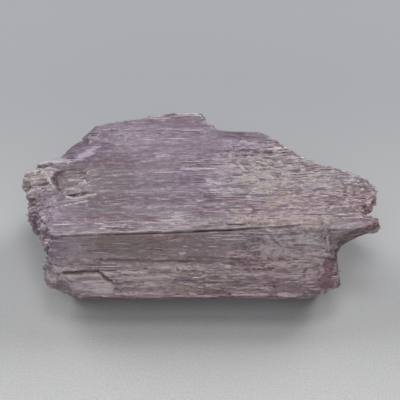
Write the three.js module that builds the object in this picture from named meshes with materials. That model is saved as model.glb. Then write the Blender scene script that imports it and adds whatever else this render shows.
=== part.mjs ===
// Kunzite crystal, the lilac gem variety of spodumene: one tabular crystal, striated along its length and
// broken at both ends, lying on its broad lower face.
//
// Millimetres, +Z up. X runs along the crystal's c axis, which is also the run of its striations, and Y runs
// from the low front edge to the back. The origin is the centre of the bounding box, at the resting face.
//
// A spodumene crystal is a bundle of straight fibres along its c axis, so the solid is built that way. Its
// cross-section is a flattened prism, drawn as an upper and a lower curve of height over Y that meet in a
// front and a back edge. Every point of that section carries one fibre, which starts at the left end and
// stops at the right end. Where the fibres end is drawn as five outlines, one for each level of the
// crystal: the base, the belt, the shoulder, the brow and the table on top.

import * as THREE from "three";
import { ParametricGeometry } from "three/addons/geometries/ParametricGeometry.js";
import { mergeGeometries, mergeVertices } from "three/addons/utils/BufferGeometryUtils.js";

// Driving dimensions.
const FRONT_Y = -26; // the front edge, where the upper and lower prism faces meet
const BACK_Y = 26; // the back edge
const EDGE_Z = 9; // height of the front edge above the resting face
const BACK_EDGE_Z = 13; // height of the back edge
const TABLE_Z = 22; // height of the broad upper face
const TIP_X = 44.5; // how far the longest fibres reach to either side
const LEFT_TIP_Y = 4.6; // where the longest fibre of the left shoulder lies
const RIGHT_TIP_Y = -12.8; // where the longest fibre of the right brow lies
const FRONT_LEFT_X = -29.5; // where the front edge starts
const FRONT_RIGHT_X = 24.5; // where the front edge stops
const BACK_LEFT_X = -12; // where the back edge starts
const BACK_RIGHT_X = 0.8; // where the back edge stops
const RIDGE_DRIFT = 0.032; // how far the ridge in front of the table shifts back, for each unit along
const DRIFT_STARTS_AT = [FRONT_Y, -21]; // the y over which that shift sets in
const DRIFT_STOPS_AT = [-8, 4]; // the y over which it dies away

// How finely the solid is faceted.
const FIBRE_STEPS = 14; // facets along a fibre
const LEVEL_STEPS = 10; // facets up each broken end, so that every level's outline is met
const LONGEST_FACET_Y = 1.7; // widest facet across the fibres
const NARROWEST_FACET_Y = 0.35; // turns closer together than this share one facet edge
const SPLINTER = 0.9; // how far neighbouring fibres stick out of the broken ends past each other

// The upper curve of the section, as (y, z): a steep front band, a ledge, the upper prism face, a lip, the
// table with its low growth steps, and a bevel down to the back edge.
const UPPER_CURVE = [
  [FRONT_Y, EDGE_Z],
  [-24.4, 11.9],
  [-22.9, 13.7],
  [-21.9, 14.6],
  [-20.2, 15.3],
  [-18.6, 17.8],
  [-17.2, 20.0],
  [-16.5, 20.9],
  [-16.1, 21.6],
  [-14.8, TABLE_Z],
  [-9.4, TABLE_Z + 0.2],
  [-9.0, TABLE_Z - 0.1],
  [-3.4, TABLE_Z],
  [-3.0, TABLE_Z + 0.3],
  [4.6, TABLE_Z + 0.3],
  [5.0, TABLE_Z],
  [11.6, TABLE_Z - 0.1],
  [12.0, TABLE_Z - 0.4],
  [17.5, TABLE_Z - 0.5],
  [21.0, TABLE_Z - 1.0],
  [23.4, TABLE_Z - 1.6],
  [24.8, TABLE_Z - 2.2],
  [25.6, 17.2],
  [BACK_Y, BACK_EDGE_Z],
];

// The lower curve: undercut prism faces at the front and back, and the flat face that it lies on.
const LOWER_CURVE = [
  [FRONT_Y, EDGE_Z],
  [-25.0, 7.0],
  [-22.6, 4.1],
  [-19.4, 1.4],
  [-17.2, 0.3],
  [-15.5, 0],
  [19.0, 0],
  [21.4, 1.1],
  [24.4, 5.8],
  [25.6, 9.8],
  [BACK_Y, BACK_EDGE_Z],
];

// Levels of the crystal, as a share of its height at that y, and where the fibres of each level end. An
// outline is a list of (y, x). The straight run of the left table outline is the one crisp end face.
const FRONT_LEFT = [FRONT_Y, FRONT_LEFT_X];
const FRONT_RIGHT = [FRONT_Y, FRONT_RIGHT_X];
const BACK_LEFT = [BACK_Y, BACK_LEFT_X];
const BACK_RIGHT = [BACK_Y, BACK_RIGHT_X];
const LEVELS = [
  {
    name: "base",
    share: 0,
    left: [
      FRONT_LEFT, [-20, -32], [-14, -33.5], [-7, -35.5], [0, -36], [7, -34.5], [14, -30], [20, -23],
      BACK_LEFT,
    ],
    right: [
      FRONT_RIGHT, [-22, 30], [-16, 31.5], [-9, 33], [-4, 35.5], [0, 37.5], [3, 36], [6, 28.5], [12, 20],
      [18, 9], [22, 3.5], BACK_RIGHT,
    ],
  },
  {
    name: "belt",
    share: 0.4,
    left: [
      FRONT_LEFT, [-24.4, -32.8], [-21.4, -37.6], [-18, -37.8], [-14, -38.2], [-7, -40.5], [0, -41.6],
      [5, -42.5], [9.4, -39.5], [13, -33.5], [19, -27], [24, -17.5], BACK_LEFT,
    ],
    right: [
      FRONT_RIGHT, [-25, 29.8], [-22, 34.2], [-18, 33.4], [-14, 33.2], [-9, 34.4], [-6, 36.4], [-3, 38],
      [0, 39], [2, 38], [7, 28.5], [13, 20.8], [18, 10.5], [22, 3.6], BACK_RIGHT,
    ],
  },
  {
    name: "shoulder",
    share: 0.7,
    left: [
      FRONT_LEFT, [-24.8, -33.4], [-23.4, -36.2], [-21.8, -38], [-19.6, -37.8], [-16.9, -38],
      [-15.4, -38.5], [-13.4, -39.5], [-10.9, -39.9], [-9, -41], [-6.6, -42.6], [-4.7, -42.1],
      [-2.1, -43.2], [0.4, -42.7], [2.4, -43.6], [LEFT_TIP_Y, -TIP_X], [6.6, -43.8], [8.4, -43], [9.4, -41],
      [10, -36.8], [14, -32.2], [19, -27.4], [23, -20], BACK_LEFT,
    ],
    right: [
      FRONT_RIGHT, [-25, 30.2], [-23.6, 32.6], [-22.2, 34.2], [-17, 33.4], [-13.4, 35.2], [-9, 36.8],
      [-5, 38.6], [0, 40.4], [2, 39.6], [4.4, 35], [8.8, 27.6], [12.6, 21.8], [16.4, 16.4], [17.4, 7.4],
      [21.4, 2.6], BACK_RIGHT,
    ],
  },
  {
    name: "brow",
    share: 0.9,
    left: [
      FRONT_LEFT, [-24, -33.6], [-21.6, -37.2], [-19, -37], [-17, -37.4], [-13, -38.9], [-9.5, -40.8],
      [-7.6, -42.7], [-6.6, -42.8], [-5.6, -41.7], [-4.2, -42.1], [-3.4, -43.3], [-2.4, -43.4],
      [-1.2, -42.2], [0.2, -43.7], [1.4, -TIP_X], [3.2, -44.4], [4.4, -42.6], [5.2, -41], [6, -41.6],
      [6.8, -40.6], [7.6, -36.6], [8.6, -34.8], [18.8, -27], [22, -18], BACK_LEFT,
    ],
    right: [
      FRONT_RIGHT, [-23.8, 32.6], [-21, 34], [-18, 33.6], [-16.4, 34.4], [-15.4, 37], [-14.8, 40.4],
      [-14, 43.6], [RIGHT_TIP_Y, TIP_X], [-11.4, 44.2], [-10.2, 42.4], [-9.2, 40.8], [-8.3, 40.6],
      [-7.4, 42], [-6.6, 43.8], [-3, TIP_X], [0.2, TIP_X], [1.3, 43.2], [2.6, 39.4], [5.2, 33.2],
      [8.2, 27.4], [12, 22.2], [16, 16.6], [17.2, 7.2], [21.4, 2.2], BACK_RIGHT,
    ],
  },
  {
    name: "table",
    share: 1,
    left: [
      FRONT_LEFT, [-24, -32.8], [-22, -36], [-17, -36.4], [-13, -37.8], [-9.5, -39.8], [-7.6, -41.6],
      [-6.6, -41.8], [-5.6, -40.8], [-4.2, -41.3], [-3.4, -42.4], [-2.4, -42.5], [-1.2, -41.3],
      [0.2, -42.8], [1.4, -43.7], [3, -43.5], [4.2, -41.8], [5, -39.8], [5.8, -40.9], [6.6, -40.2],
      [7.2, -37], [7.8, -35.3], [8.6, -34.3], [18.8, -26.7], [20.6, -23], [22.4, -12.8], [22.9, -8.2],
      [23.5, -7.3], [24.8, -7], BACK_LEFT,
    ],
    right: [
      FRONT_RIGHT, [-23.4, 31.6], [-20.6, 33.2], [-17.6, 33.2], [-16, 34.8], [-15, 38.8], [-14.2, 42.2],
      [-12.8, 43.7], [-11.4, 43.3], [-10.2, 41.6], [-9.2, 40], [-8.3, 39.8], [-7.4, 41.2], [-6.4, 42.8],
      [-2.8, 43.4], [0.2, 43.2], [1.4, 41.6], [2.7, 37.6], [5.2, 31.4], [7.2, 28.6], [8.6, 25.7],
      [12, 21.3], [15.5, 17.4], [16.6, 15.6], [17.1, 6.3], [18.6, 3.6], [21.3, 1.4], [23.2, 0.9],
      [24.8, 0.7], BACK_RIGHT,
    ],
  },
];

// Broad dips in the upper side, as rounded dents: centre, half sizes along X and Y, and depth.
const DENTS = [
  { name: "left hollow", x: -31.8, y: 0, alongX: 6, alongY: 6, depth: 1.9 },
  { name: "sunken fibre bundle", x: -41.5, y: 5.6, alongX: 5, alongY: 4, depth: 1.2 },
  { name: "worn left end", x: -46, y: -7, alongX: 12, alongY: 15, depth: 3.4 },
  { name: "worn right tip", x: 45, y: -4, alongX: 11, alongY: 12, depth: 2.2 },
  { name: "rough right field", x: 19, y: 4, alongX: 13, alongY: 7, depth: 0.7 },
];

// Where the crystal is thinner than this, its dents are shallower.
const DENTED_FROM = 0.9 * TABLE_Z;

// Height or reach at y on a list of points, by straight lines between them.
function along(points, y) {
  const next = points.findIndex(([at]) => at >= y);
  if (next <= 0) return points[0][1];
  const [y0, v0] = points[next - 1];
  const [y1, v1] = points[next];
  return THREE.MathUtils.mapLinear(y, y0, y1, v0, v1);
}

// Where the fibre at (y, level) ends on one side: straight lines from each level's outline to the next.
function fibreEnd(side, y, level) {
  const above = Math.max(1, LEVELS.findIndex(({ share }) => share >= level));
  const [low, high] = [LEVELS[above - 1], LEVELS[above]];
  return THREE.MathUtils.mapLinear(level, low.share, high.share, along(low[side], y), along(high[side], y));
}

// How far the dents lower the upper side at (x, y): each is a smooth bowl, deepest at its centre.
function dentDepth(x, y) {
  let depth = 0;
  for (const dent of DENTS) {
    const away = ((x - dent.x) / dent.alongX) ** 2 + ((y - dent.y) / dent.alongY) ** 2;
    if (away < 1) depth += dent.depth * (1 - away) ** 2;
  }
  return depth;
}

// The longest fibres, which set the crystal's length.
const TIPS = [
  { y: LEFT_TIP_Y, level: LEVELS[2].share },
  { y: RIGHT_TIP_Y, level: LEVELS[3].share },
];

function isTip(y, level) {
  return TIPS.some((tip) => tip.y === y && tip.level === level);
}

// How far one fibre falls short of its outline: a fixed scatter from 0 to SPLINTER, the same on each run. It
// is left out at the outer skin, and at the tips, so that outlines stay as drawn.
function splinterGap(y, level, thick) {
  const scatter = Math.abs(Math.sin(y * 12.9898 + level * 78.233) * 43758.5453) % 1;
  const inside = 4 * level * (1 - level);
  return SPLINTER * scatter * inside * Math.min(1, thick / TABLE_Z);
}

// The y at which the upper curve is read for a point at (x, y): the ridge drifts back along the crystal, and
// the edges and the table stay where they are.
function driftedY(x, y) {
  const started = THREE.MathUtils.smoothstep(y, ...DRIFT_STARTS_AT);
  const stopped = THREE.MathUtils.smoothstep(y, ...DRIFT_STOPS_AT);
  return y - RIDGE_DRIFT * x * started * (1 - stopped);
}

// The point of the crystal at a share along its fibre, a place across the bundle, and a level from 0 to 1.
function crystalPoint(share, y, level, target) {
  const low = along(LOWER_CURVE, y);
  const thick = along(UPPER_CURVE, y) - low;
  const gap = isTip(y, level) ? 0 : splinterGap(y, level, thick);
  const x = THREE.MathUtils.lerp(fibreEnd("left", y, level) + gap, fibreEnd("right", y, level) - gap, share);
  const dent = dentDepth(x, y) * level ** 2 * Math.min(1, thick / DENTED_FROM);
  return target.set(x, y, low + (along(UPPER_CURVE, driftedY(x, y)) - low) * level - dent);
}

// Every y at which a curve or an outline of the upper levels turns, with the wide gaps between them filled.
// Turns that crowd another one are left out, and so is any that crowds a tip.
function facetStations() {
  const turns = [UPPER_CURVE, LOWER_CURVE, ...LEVELS.slice(2).flatMap(({ left, right }) => [left, right])]
    .flatMap((points) => points.map(([y]) => y))
    .filter((y) => TIPS.every((tip) => y === tip.y || Math.abs(y - tip.y) >= NARROWEST_FACET_Y))
    .sort((a, b) => a - b);
  const stations = [turns[0]];
  for (const y of turns) {
    const last = stations[stations.length - 1];
    const gaps = Math.ceil((y - last) / LONGEST_FACET_Y);
    if (y - last < NARROWEST_FACET_Y && y < BACK_Y) continue;
    for (let k = 1; k <= gaps; k++) stations.push(last + ((y - last) * k) / gaps);
  }
  return stations;
}

// One side of the crystal as a grid of facets, with its faces turned to point outwards.
function side(stations, steps, flip, placeAt) {
  const spans = stations.length - 1;
  const shape = (u, v, target) => placeAt(flip ? 1 - u : u, stations[Math.round(v * spans)], target);
  const geometry = new ParametricGeometry(shape, steps, spans);
  geometry.deleteAttribute("normal");
  geometry.deleteAttribute("uv");
  return geometry;
}

// A grid's facets shrink to nothing where it meets the front and back edges, so those are dropped.
function withoutEmptyFacets(geometry) {
  const index = geometry.index.array;
  const kept = [];
  for (let i = 0; i < index.length; i += 3) {
    const [a, b, c] = [index[i], index[i + 1], index[i + 2]];
    if (a !== b && b !== c && c !== a) kept.push(a, b, c);
  }
  geometry.setIndex(kept);
  return geometry;
}

function crystalGeometry() {
  const stations = facetStations();
  const sides = [
    side(stations, FIBRE_STEPS, false, (u, y, target) => crystalPoint(u, y, 1, target)),
    side(stations, FIBRE_STEPS, true, (u, y, target) => crystalPoint(u, y, 0, target)),
    side(stations, LEVEL_STEPS, false, (u, y, target) => crystalPoint(0, y, u, target)),
    side(stations, LEVEL_STEPS, true, (u, y, target) => crystalPoint(1, y, u, target)),
  ];
  const geometry = withoutEmptyFacets(mergeVertices(mergeGeometries(sides), 1e-3));
  geometry.computeVertexNormals();
  return geometry;
}

const lilac = new THREE.MeshStandardMaterial({
  name: "kunzite",
  color: 0x9a879a,
  roughness: 0.45,
  metalness: 0,
  flatShading: true,
});

const crystal = new THREE.Mesh(crystalGeometry(), lilac);
crystal.name = "kunzite_crystal";

const group = new THREE.Group();
group.add(crystal);
export default group;
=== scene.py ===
"""Looks of a kunzite crystal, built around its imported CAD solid.

Kunzite is the lilac gem variety of spodumene. This is one tabular crystal that lies on its broad lower face:
striated along its length, etched and splintered at both ends, bruised white along its cleavages and coated
with pale clay in its rough places. X runs along the crystal, Y from its low front edge to its back and Z up.

Shapes are worked out in millimetres and put into the meshes in metres. Below, points are shaped (n, 3), a
place across the bundle is a Y, a level is a height in the bundle from 0 at the underside to 1 at the top, and
a share or a cover is a number from 0 to 1.
"""

import itertools
import logging
from dataclasses import dataclass
from enum import Enum

import bpy
import numpy as np
from mathutils import Matrix, Vector


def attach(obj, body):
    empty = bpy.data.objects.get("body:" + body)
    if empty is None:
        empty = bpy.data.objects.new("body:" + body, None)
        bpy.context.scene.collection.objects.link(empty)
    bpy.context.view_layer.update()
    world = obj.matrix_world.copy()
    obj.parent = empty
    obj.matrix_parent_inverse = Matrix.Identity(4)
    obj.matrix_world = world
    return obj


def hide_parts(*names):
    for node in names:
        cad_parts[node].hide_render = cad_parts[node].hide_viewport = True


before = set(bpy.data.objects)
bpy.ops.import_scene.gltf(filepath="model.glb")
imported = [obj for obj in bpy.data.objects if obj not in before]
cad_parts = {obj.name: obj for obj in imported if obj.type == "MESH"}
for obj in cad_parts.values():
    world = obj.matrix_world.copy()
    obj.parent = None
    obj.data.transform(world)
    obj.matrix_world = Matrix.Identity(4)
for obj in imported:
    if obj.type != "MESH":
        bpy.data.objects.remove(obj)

LOG = logging.getLogger("kunzite")
CAD_NODE = "kunzite_crystal"
CAD_BODY = "root"
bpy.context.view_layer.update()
MM = 0.001

Array = np.ndarray
Points = tuple[tuple[float, float], ...]
Pair = tuple[float, float]
Triple = tuple[float, float, float]
Node = bpy.types.Node


def linear(hex_colour: str) -> tuple[float, ...]:
    """Turns an sRGB hex colour, such as "B7A5B9", into linear red, green and blue, and an alpha of 1."""
    coded = [int(hex_colour[at : at + 2], 16) / 255 for at in (0, 2, 4)]
    return (*(c / 12.92 if c <= 0.04045 else ((c + 0.055) / 1.055) ** 2.4 for c in coded), 1.0)


def smooth(low: float, high: float, value: Array) -> Array:
    """Rises from 0 at low to 1 at high along the curve 3t^2 - 2t^3, and falls if low is above high."""
    t = np.clip((value - low) / (high - low), 0.0, 1.0)
    return t * t * (3.0 - 2.0 * t)


def along(curve: Points, at: Array) -> Array:
    """Reads a curve, given as (place, value) points in rising order, by straight lines between them."""
    places, values = np.array(curve, float).T
    return np.interp(at, places, values)


# Fixed patterns of the stone, as functions of place

# Large odd numbers that spread the bits of a cell's place and of a seed, and the shifts and factors that mix
# them.
PLACE_FACTORS = np.array((374761393, 668265263, 2246822519), np.uint32)
SEED_FACTOR = 3266489917
MIXING = ((13, 1274126177), (15, 2654435761), (16, 1))


@dataclass(frozen=True)
class Grain:
    """A fixed cloudy pattern in space, stretched along the fibres of the crystal."""

    run: float  # size of its features along X, mm
    width: float  # size of its features across the fibres, mm
    seed: int  # which of the endless patterns of this kind it is
    octaves: int = 1  # how many halvings of the size are laid over each other
    gain: float = 0.5  # strength of each halving against the one before

    @staticmethod
    def scatter(cell: Array, seed: int) -> Array:
        """Gives each cell of a lattice its own fixed share, by mixing the bits of its place and the seed.

        Args:
            cell: whole numbers, shaped (n, 3).
            seed: which scatter it is.

        Returns:
            n shares.
        """
        bits = cell.astype(np.int64).astype(np.uint32) @ PLACE_FACTORS
        bits = bits + np.uint32(seed * SEED_FACTOR % 2**32)
        for shift, factor in MIXING:
            bits = (bits ^ (bits >> np.uint32(shift))) * np.uint32(factor)
        return bits / 2.0**32

    def octave(self, place: Array, seed: int) -> Array:
        """Blends the shares of the eight lattice corners around each place, smoothly from cell to cell.

        Args:
            place: points in lattice units.
            seed: which scatter it reads.

        Returns:
            n numbers from -1 to 1.
        """
        cell = np.floor(place)
        part = place - cell
        fade = part**3 * (part * (part * 6.0 - 15.0) + 10.0)
        total = np.zeros(len(place))
        for corner in itertools.product((0, 1), repeat=3):
            weight = np.where(np.array(corner) == 1, fade, 1.0 - fade).prod(axis=1)
            total += weight * self.scatter(cell + corner, seed)
        return total * 2.0 - 1.0

    def at(self, points: Array) -> Array:
        """Reads the pattern, each octave at half the size and gain times the strength of the last.

        Args:
            points: places, mm.

        Returns:
            n numbers from about -1 to 1.
        """
        place = points / (self.run, self.width, self.width)
        total, strength, whole = np.zeros(len(points)), 1.0, 0.0
        for step in range(self.octaves):
            total += strength * self.octave(place * 2.0**step + 17.3 * step, self.seed + 31 * step)
            whole += strength
            strength *= self.gain
        return total / whole

    def cells(self, points: Array) -> tuple[Array, Array]:
        """Reads the same pattern as cells grown around one scattered seed point in each lattice box.

        Args:
            points: places, mm.

        Returns:
            The distance to the nearest seed point, in cells, and the share that is that cell's own.
        """
        place = points / (self.run, self.width, self.width)
        cell = np.floor(place)
        nearest, owner = np.full(len(points), np.inf), np.zeros(len(points))
        for corner in itertools.product((-1, 0, 1), repeat=3):
            box = cell + corner
            middle = box + np.stack([self.scatter(box, self.seed + k) for k in (1, 2, 3)], axis=1)
            away = np.linalg.norm(middle - place, axis=1)
            owner = np.where(away < nearest, self.scatter(box, self.seed), owner)
            nearest = np.minimum(nearest, away)
        return nearest, owner


# The crystal's form


class End(Enum):
    """An end of the crystal; its value is the name of its outline in a Level."""

    LEFT = "left"
    RIGHT = "right"


@dataclass(frozen=True)
class Level:
    """Where the fibres at one level of the bundle start and stop, as (y, x) outlines, mm."""

    share: float  # the level itself, from 0 at the underside to 1 at the top
    left: Points
    right: Points


@dataclass(frozen=True)
class Dent:
    """A broad rounded dip in the upper side: centre, half sizes along X and Y, and depth, mm."""

    x: float
    y: float
    along_x: float
    along_y: float
    depth: float


# The section across the fibres as (y, z) points, mm: its upper side with the ridge, and its underside.
UPPER_CURVE = (
    (-26, 9), (-24.4, 11.9), (-22.9, 13.7), (-21.9, 14.6), (-20.2, 15.3), (-18.6, 17.8), (-17.2, 20),
    (-16.5, 20.9), (-16.1, 21.6), (-14.8, 22), (-9.4, 22.2), (-9, 21.9), (-3.4, 22), (-3, 22.3), (4.6, 22.3),
    (5, 22), (11.6, 21.9), (12, 21.6), (17.5, 21.5), (21, 21), (23.4, 20.4), (24.8, 19.8), (25.6, 17.2),
    (26, 13),
)
LOWER_CURVE = (
    (-26, 9), (-25, 7), (-22.6, 4.1), (-19.4, 1.4), (-17.2, 0.3), (-15.5, 0), (19, 0), (21.4, 1.1),
    (24.4, 5.8), (25.6, 9.8), (26, 13),
)
LEVELS = (
    Level(
        0,
        (
            (-26, -29.5), (-20, -32), (-14, -33.5), (-7, -35.5), (0, -36), (7, -34.5), (14, -30), (20, -23),
            (26, -12),
        ),
        (
            (-26, 24.5), (-22, 30), (-16, 31.5), (-9, 33), (-4, 35.5), (0, 37.5), (3, 36), (6, 28.5),
            (12, 20), (18, 9), (22, 3.5), (26, 0.8),
        ),
    ),
    Level(
        0.4,
        (
            (-26, -29.5), (-24.4, -32.8), (-21.4, -37.6), (-18, -37.8), (-14, -38.2), (-7, -40.5),
            (0, -41.6), (5, -42.5), (9.4, -39.5), (13, -33.5), (19, -27), (24, -17.5), (26, -12),
        ),
        (
            (-26, 24.5), (-25, 29.8), (-22, 34.2), (-18, 33.4), (-14, 33.2), (-9, 34.4), (-6, 36.4),
            (-3, 38), (0, 39), (2, 38), (7, 28.5), (13, 20.8), (18, 10.5), (22, 3.6), (26, 0.8),
        ),
    ),
    Level(
        0.7,
        (
            (-26, -29.5), (-24.8, -33.4), (-23.4, -36.2), (-21.8, -38), (-19.6, -37.8), (-16.9, -38),
            (-15.4, -38.5), (-13.4, -39.5), (-10.9, -39.9), (-9, -41), (-6.6, -42.6), (-4.7, -42.1),
            (-2.1, -43.2), (0.4, -42.7), (2.4, -43.6), (4.6, -44.5), (6.6, -43.8), (8.4, -43), (9.4, -41),
            (10, -36.8), (14, -32.2), (19, -27.4), (23, -20), (26, -12),
        ),
        (
            (-26, 24.5), (-25, 30.2), (-23.6, 32.6), (-22.2, 34.2), (-17, 33.4), (-13.4, 35.2), (-9, 36.8),
            (-5, 38.6), (0, 40.4), (2, 39.6), (4.4, 35), (8.8, 27.6), (12.6, 21.8), (16.4, 16.4),
            (17.4, 7.4), (21.4, 2.6), (26, 0.8),
        ),
    ),
    Level(
        0.9,
        (
            (-26, -29.5), (-24, -33.6), (-21.6, -37.2), (-19, -37), (-17, -37.4), (-13, -38.9),
            (-9.5, -40.8), (-7.6, -42.7), (-6.6, -42.8), (-5.6, -41.7), (-4.2, -42.1), (-3.4, -43.3),
            (-2.4, -43.4), (-1.2, -42.2), (0.2, -43.7), (1.4, -44.5), (3.2, -44.4), (4.4, -42.6), (5.2, -41),
            (6, -41.6), (6.8, -40.6), (7.6, -36.6), (8.6, -34.8), (18.8, -27), (22, -18), (26, -12),
        ),
        (
            (-26, 24.5), (-23.8, 32.6), (-21, 34), (-18, 33.6), (-16.4, 34.4), (-15.4, 37), (-14.8, 40.4),
            (-14, 43.6), (-12.8, 44.5), (-11.4, 44.2), (-10.2, 42.4), (-9.2, 40.8), (-8.3, 40.6), (-7.4, 42),
            (-6.6, 43.8), (-3, 44.5), (0.2, 44.5), (1.3, 43.2), (2.6, 39.4), (5.2, 33.2), (8.2, 27.4),
            (12, 22.2), (16, 16.6), (17.2, 7.2), (21.4, 2.2), (26, 0.8),
        ),
    ),
    Level(
        1,
        (
            (-26, -29.5), (-24, -32.8), (-22, -36), (-17, -36.4), (-13, -37.8), (-9.5, -39.8), (-7.6, -41.6),
            (-6.6, -41.8), (-5.6, -40.8), (-4.2, -41.3), (-3.4, -42.4), (-2.4, -42.5), (-1.2, -41.3),
            (0.2, -42.8), (1.4, -43.7), (3, -43.5), (4.2, -41.8), (5, -39.8), (5.8, -40.9), (6.6, -40.2),
            (7.2, -37), (7.8, -35.3), (8.6, -34.3), (18.8, -26.7), (20.6, -23), (22.4, -12.8), (22.9, -8.2),
            (23.5, -7.3), (24.8, -7), (26, -12),
        ),
        (
            (-26, 24.5), (-23.4, 31.6), (-20.6, 33.2), (-17.6, 33.2), (-16, 34.8), (-15, 38.8),
            (-14.2, 42.2), (-12.8, 43.7), (-11.4, 43.3), (-10.2, 41.6), (-9.2, 40), (-8.3, 39.8),
            (-7.4, 41.2), (-6.4, 42.8), (-2.8, 43.4), (0.2, 43.2), (1.4, 41.6), (2.7, 37.6), (5.2, 31.4),
            (7.2, 28.6), (8.6, 25.7), (12, 21.3), (15.5, 17.4), (16.6, 15.6), (17.1, 6.3), (18.6, 3.6),
            (21.3, 1.4), (23.2, 0.9), (24.8, 0.7), (26, 0.8),
        ),
    ),
)
DENTS = (
    Dent(-31, 0.4, 8, 6.2, 0.9), Dent(-41.5, 5.6, 5, 4, 1.2), Dent(-46, -7, 12, 15, 3.4),
    Dent(45, -4, 11, 12, 2.2), Dent(19, 4, 13, 7, 0.7),
)


@dataclass
class CrystalForm:
    """The crystal as a bundle of straight fibres: a section of height over Y, and outlines for their ends."""

    tip_x: float = 44.5  # half its length, mm
    table_z: float = 22.0  # height of its upper face, mm
    splinter: float = 1.5  # the most that a fibre stops short of its outline, mm
    bundle: float = 2.8  # width of a coarse bundle of fibres, mm
    fibre: float = 0.85  # width of a fibre, mm
    shaded_recess: Pair = (-20.5, -11.0)  # from which Y to which the right end is undercut and shade is painted on it, mm
    end_face: Pair = (8.6, 18.8)  # from which Y to which the left end is one crisp face, mm
    ridge_y: float = -15.8  # Y of the ridge between the upper and the front face, mm
    ridge_drift: float = 0.032  # how far the ridge drifts back for each mm along the crystal
    upper_curve: Points = UPPER_CURVE
    lower_curve: Points = LOWER_CURVE
    levels: tuple[Level, ...] = LEVELS
    dents: tuple[Dent, ...] = DENTS

    @property
    def front_y(self) -> float:
        """Y of the front edge, where the upper and lower sides meet."""
        return self.upper_curve[0][0]

    @property
    def back_y(self) -> float:
        """Y of the back edge."""
        return self.upper_curve[-1][0]

    def fibre_end(self, end: End, y: Array, level: Array | float) -> Array:
        """Finds where fibres end, by straight lines from each level's outline to the next.

        Args:
            end: which end of the crystal.
            y: places across the bundle.
            level: their levels.

        Returns:
            X of each fibre's end, mm.
        """
        side = end.value
        x = along(getattr(self.levels[0], side), y)
        for low, high in itertools.pairwise(self.levels):
            share = np.clip((level - low.share) / (high.share - low.share), 0.0, 1.0)
            x = x + share * (along(getattr(high, side), y) - along(getattr(low, side), y))
        return x

    def inwards(self, points: Array, level: Array) -> Array:
        """Measures how far points of known level lie inwards from the nearer end of their fibre, mm."""
        left, right = (self.fibre_end(end, points[:, 1], level) for end in End)
        return np.minimum(points[:, 0] - left, right - points[:, 0])

    def crisp(self, x: Array | float, y: Array) -> Array:
        """Tells how near a place is to the one crisp end face, which is at the left."""
        start, stop = self.end_face
        return smooth(start - 0.6, start, y) * smooth(stop + 0.6, stop, y) * (x < 0)

    def undercut(self, x: Array, y: Array) -> Array:
        """Tells how near a place is to the undercut of the right end, where shade is painted on clean stone.
        """
        start, stop = self.shaded_recess
        return smooth(start, start + 1.5, y) * smooth(stop, stop - 1.5, y) * (x > 0)

    def span(self, y: Array, level: Array) -> tuple[Array, Array]:
        """Finds where fibres really start and stop. Each stops short of its outline by up to the splinter
        length, by coarse bundles and fine fibres in them, and by less where the crystal is thin.

        Args:
            y: places across the bundle.
            level: their levels.

        Returns:
            X of the left and right end of each fibre, mm.
        """
        thick = along(self.upper_curve, y) - along(self.lower_curve, y)
        spot = np.stack([np.zeros_like(y), y, level * thick], axis=1)
        ends = []
        for end, inward, seed in ((End.LEFT, 1.0, 5), (End.RIGHT, -1.0, 6)):
            _, bundle = Grain(1.0, self.bundle, seed).cells(spot * (1, 1, 1.5))
            _, fibre = Grain(1.0, self.fibre, seed + 7).cells(spot * (1, 1, 1.3))
            gap = self.splinter * (0.55 * bundle + 0.45 * fibre) * np.minimum(1.0, thick / self.table_z)
            reach = (0.45 + 0.55 * smooth(0.0, 0.12, level)) * (1.0 - 0.85 * self.crisp(-inward, y))
            ends.append(self.fibre_end(end, y, level) + inward * gap * reach)
        return tuple(ends)

    def place(self, share: Array, y: Array, level: Array) -> Array:
        """Finds points of the crystal. X runs along each fibre from its left to its right end, and Z from the
        lower to the upper curve at that Y, less the dents: each is a bowl d (1 - r^2)^2 deep at r half sizes
        from its centre. The ridge drifts back a little along the crystal.

        Args:
            share: places along the fibres.
            y: places across the bundle.
            level: their levels.

        Returns:
            Points, mm.
        """
        low = along(self.lower_curve, y)
        thick = along(self.upper_curve, y) - low
        left, right = self.span(y, level)
        x = left + share * (right - left)
        inner = smooth(self.front_y, self.front_y + 5.0, y) * smooth(4.0, -8.0, y)
        drifted = along(self.upper_curve, y - self.ridge_drift * x * inner) - low
        depth = np.zeros_like(x)
        for dent in self.dents:
            away = ((x - dent.x) / dent.along_x) ** 2 + ((y - dent.y) / dent.along_y) ** 2
            depth += dent.depth * np.clip(1.0 - away, 0.0, None) ** 2
        depth = depth * level**2 * np.minimum(1.0, thick / (0.9 * self.table_z))
        return np.stack([x, y, low + drifted * level - depth], axis=1)


# What lies on the crystal and what is broken off it

# How the scars' rims waver, how the cracks' routes stray along and across, and the clouds of scattered coats.
RIM_WAVER = Grain(2.6, 2.2, 18, 2)
CRACK_WAVER = (Grain(2.0, 1.0, 90), Grain(2.5, 1.0, 91))
CLOUDS = {"run": 13.0, "width": 3.2, "octaves": 3, "gain": 0.6}


class Coat(Enum):
    """What a place on the crystal shows besides clean lilac stone."""

    CLAY = "clay"  # pale clay rubbed into rough places
    MILK = "milk"  # white bruises and opened cleavages
    DEEP_AND_SHADE = "deep"  # the full colour, where stone is thick and unbruised, and painted shade in hollows, scars and the undercut
    ROSY = "rosy"  # pinker stone, tinged with iron, along the front and at both ends
    VIOLET = "violet"  # bluer stone
    HAZE = "haze"  # stone that is paler because of fine cracks inside
    CLEAR = "clear"  # water-clear, greyer windows
    ETCHED = "etched"  # pitted by natural etching
    FIBROUS = "fibrous"  # sharp growth lines, against smooth hazy stone
    STAIN_AND_SHADE = "stain"  # iron brown in a crack, and painted shade in the undercut of the right end
    FRESH = "fresh"  # smooth breaks with no growth lines


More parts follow.
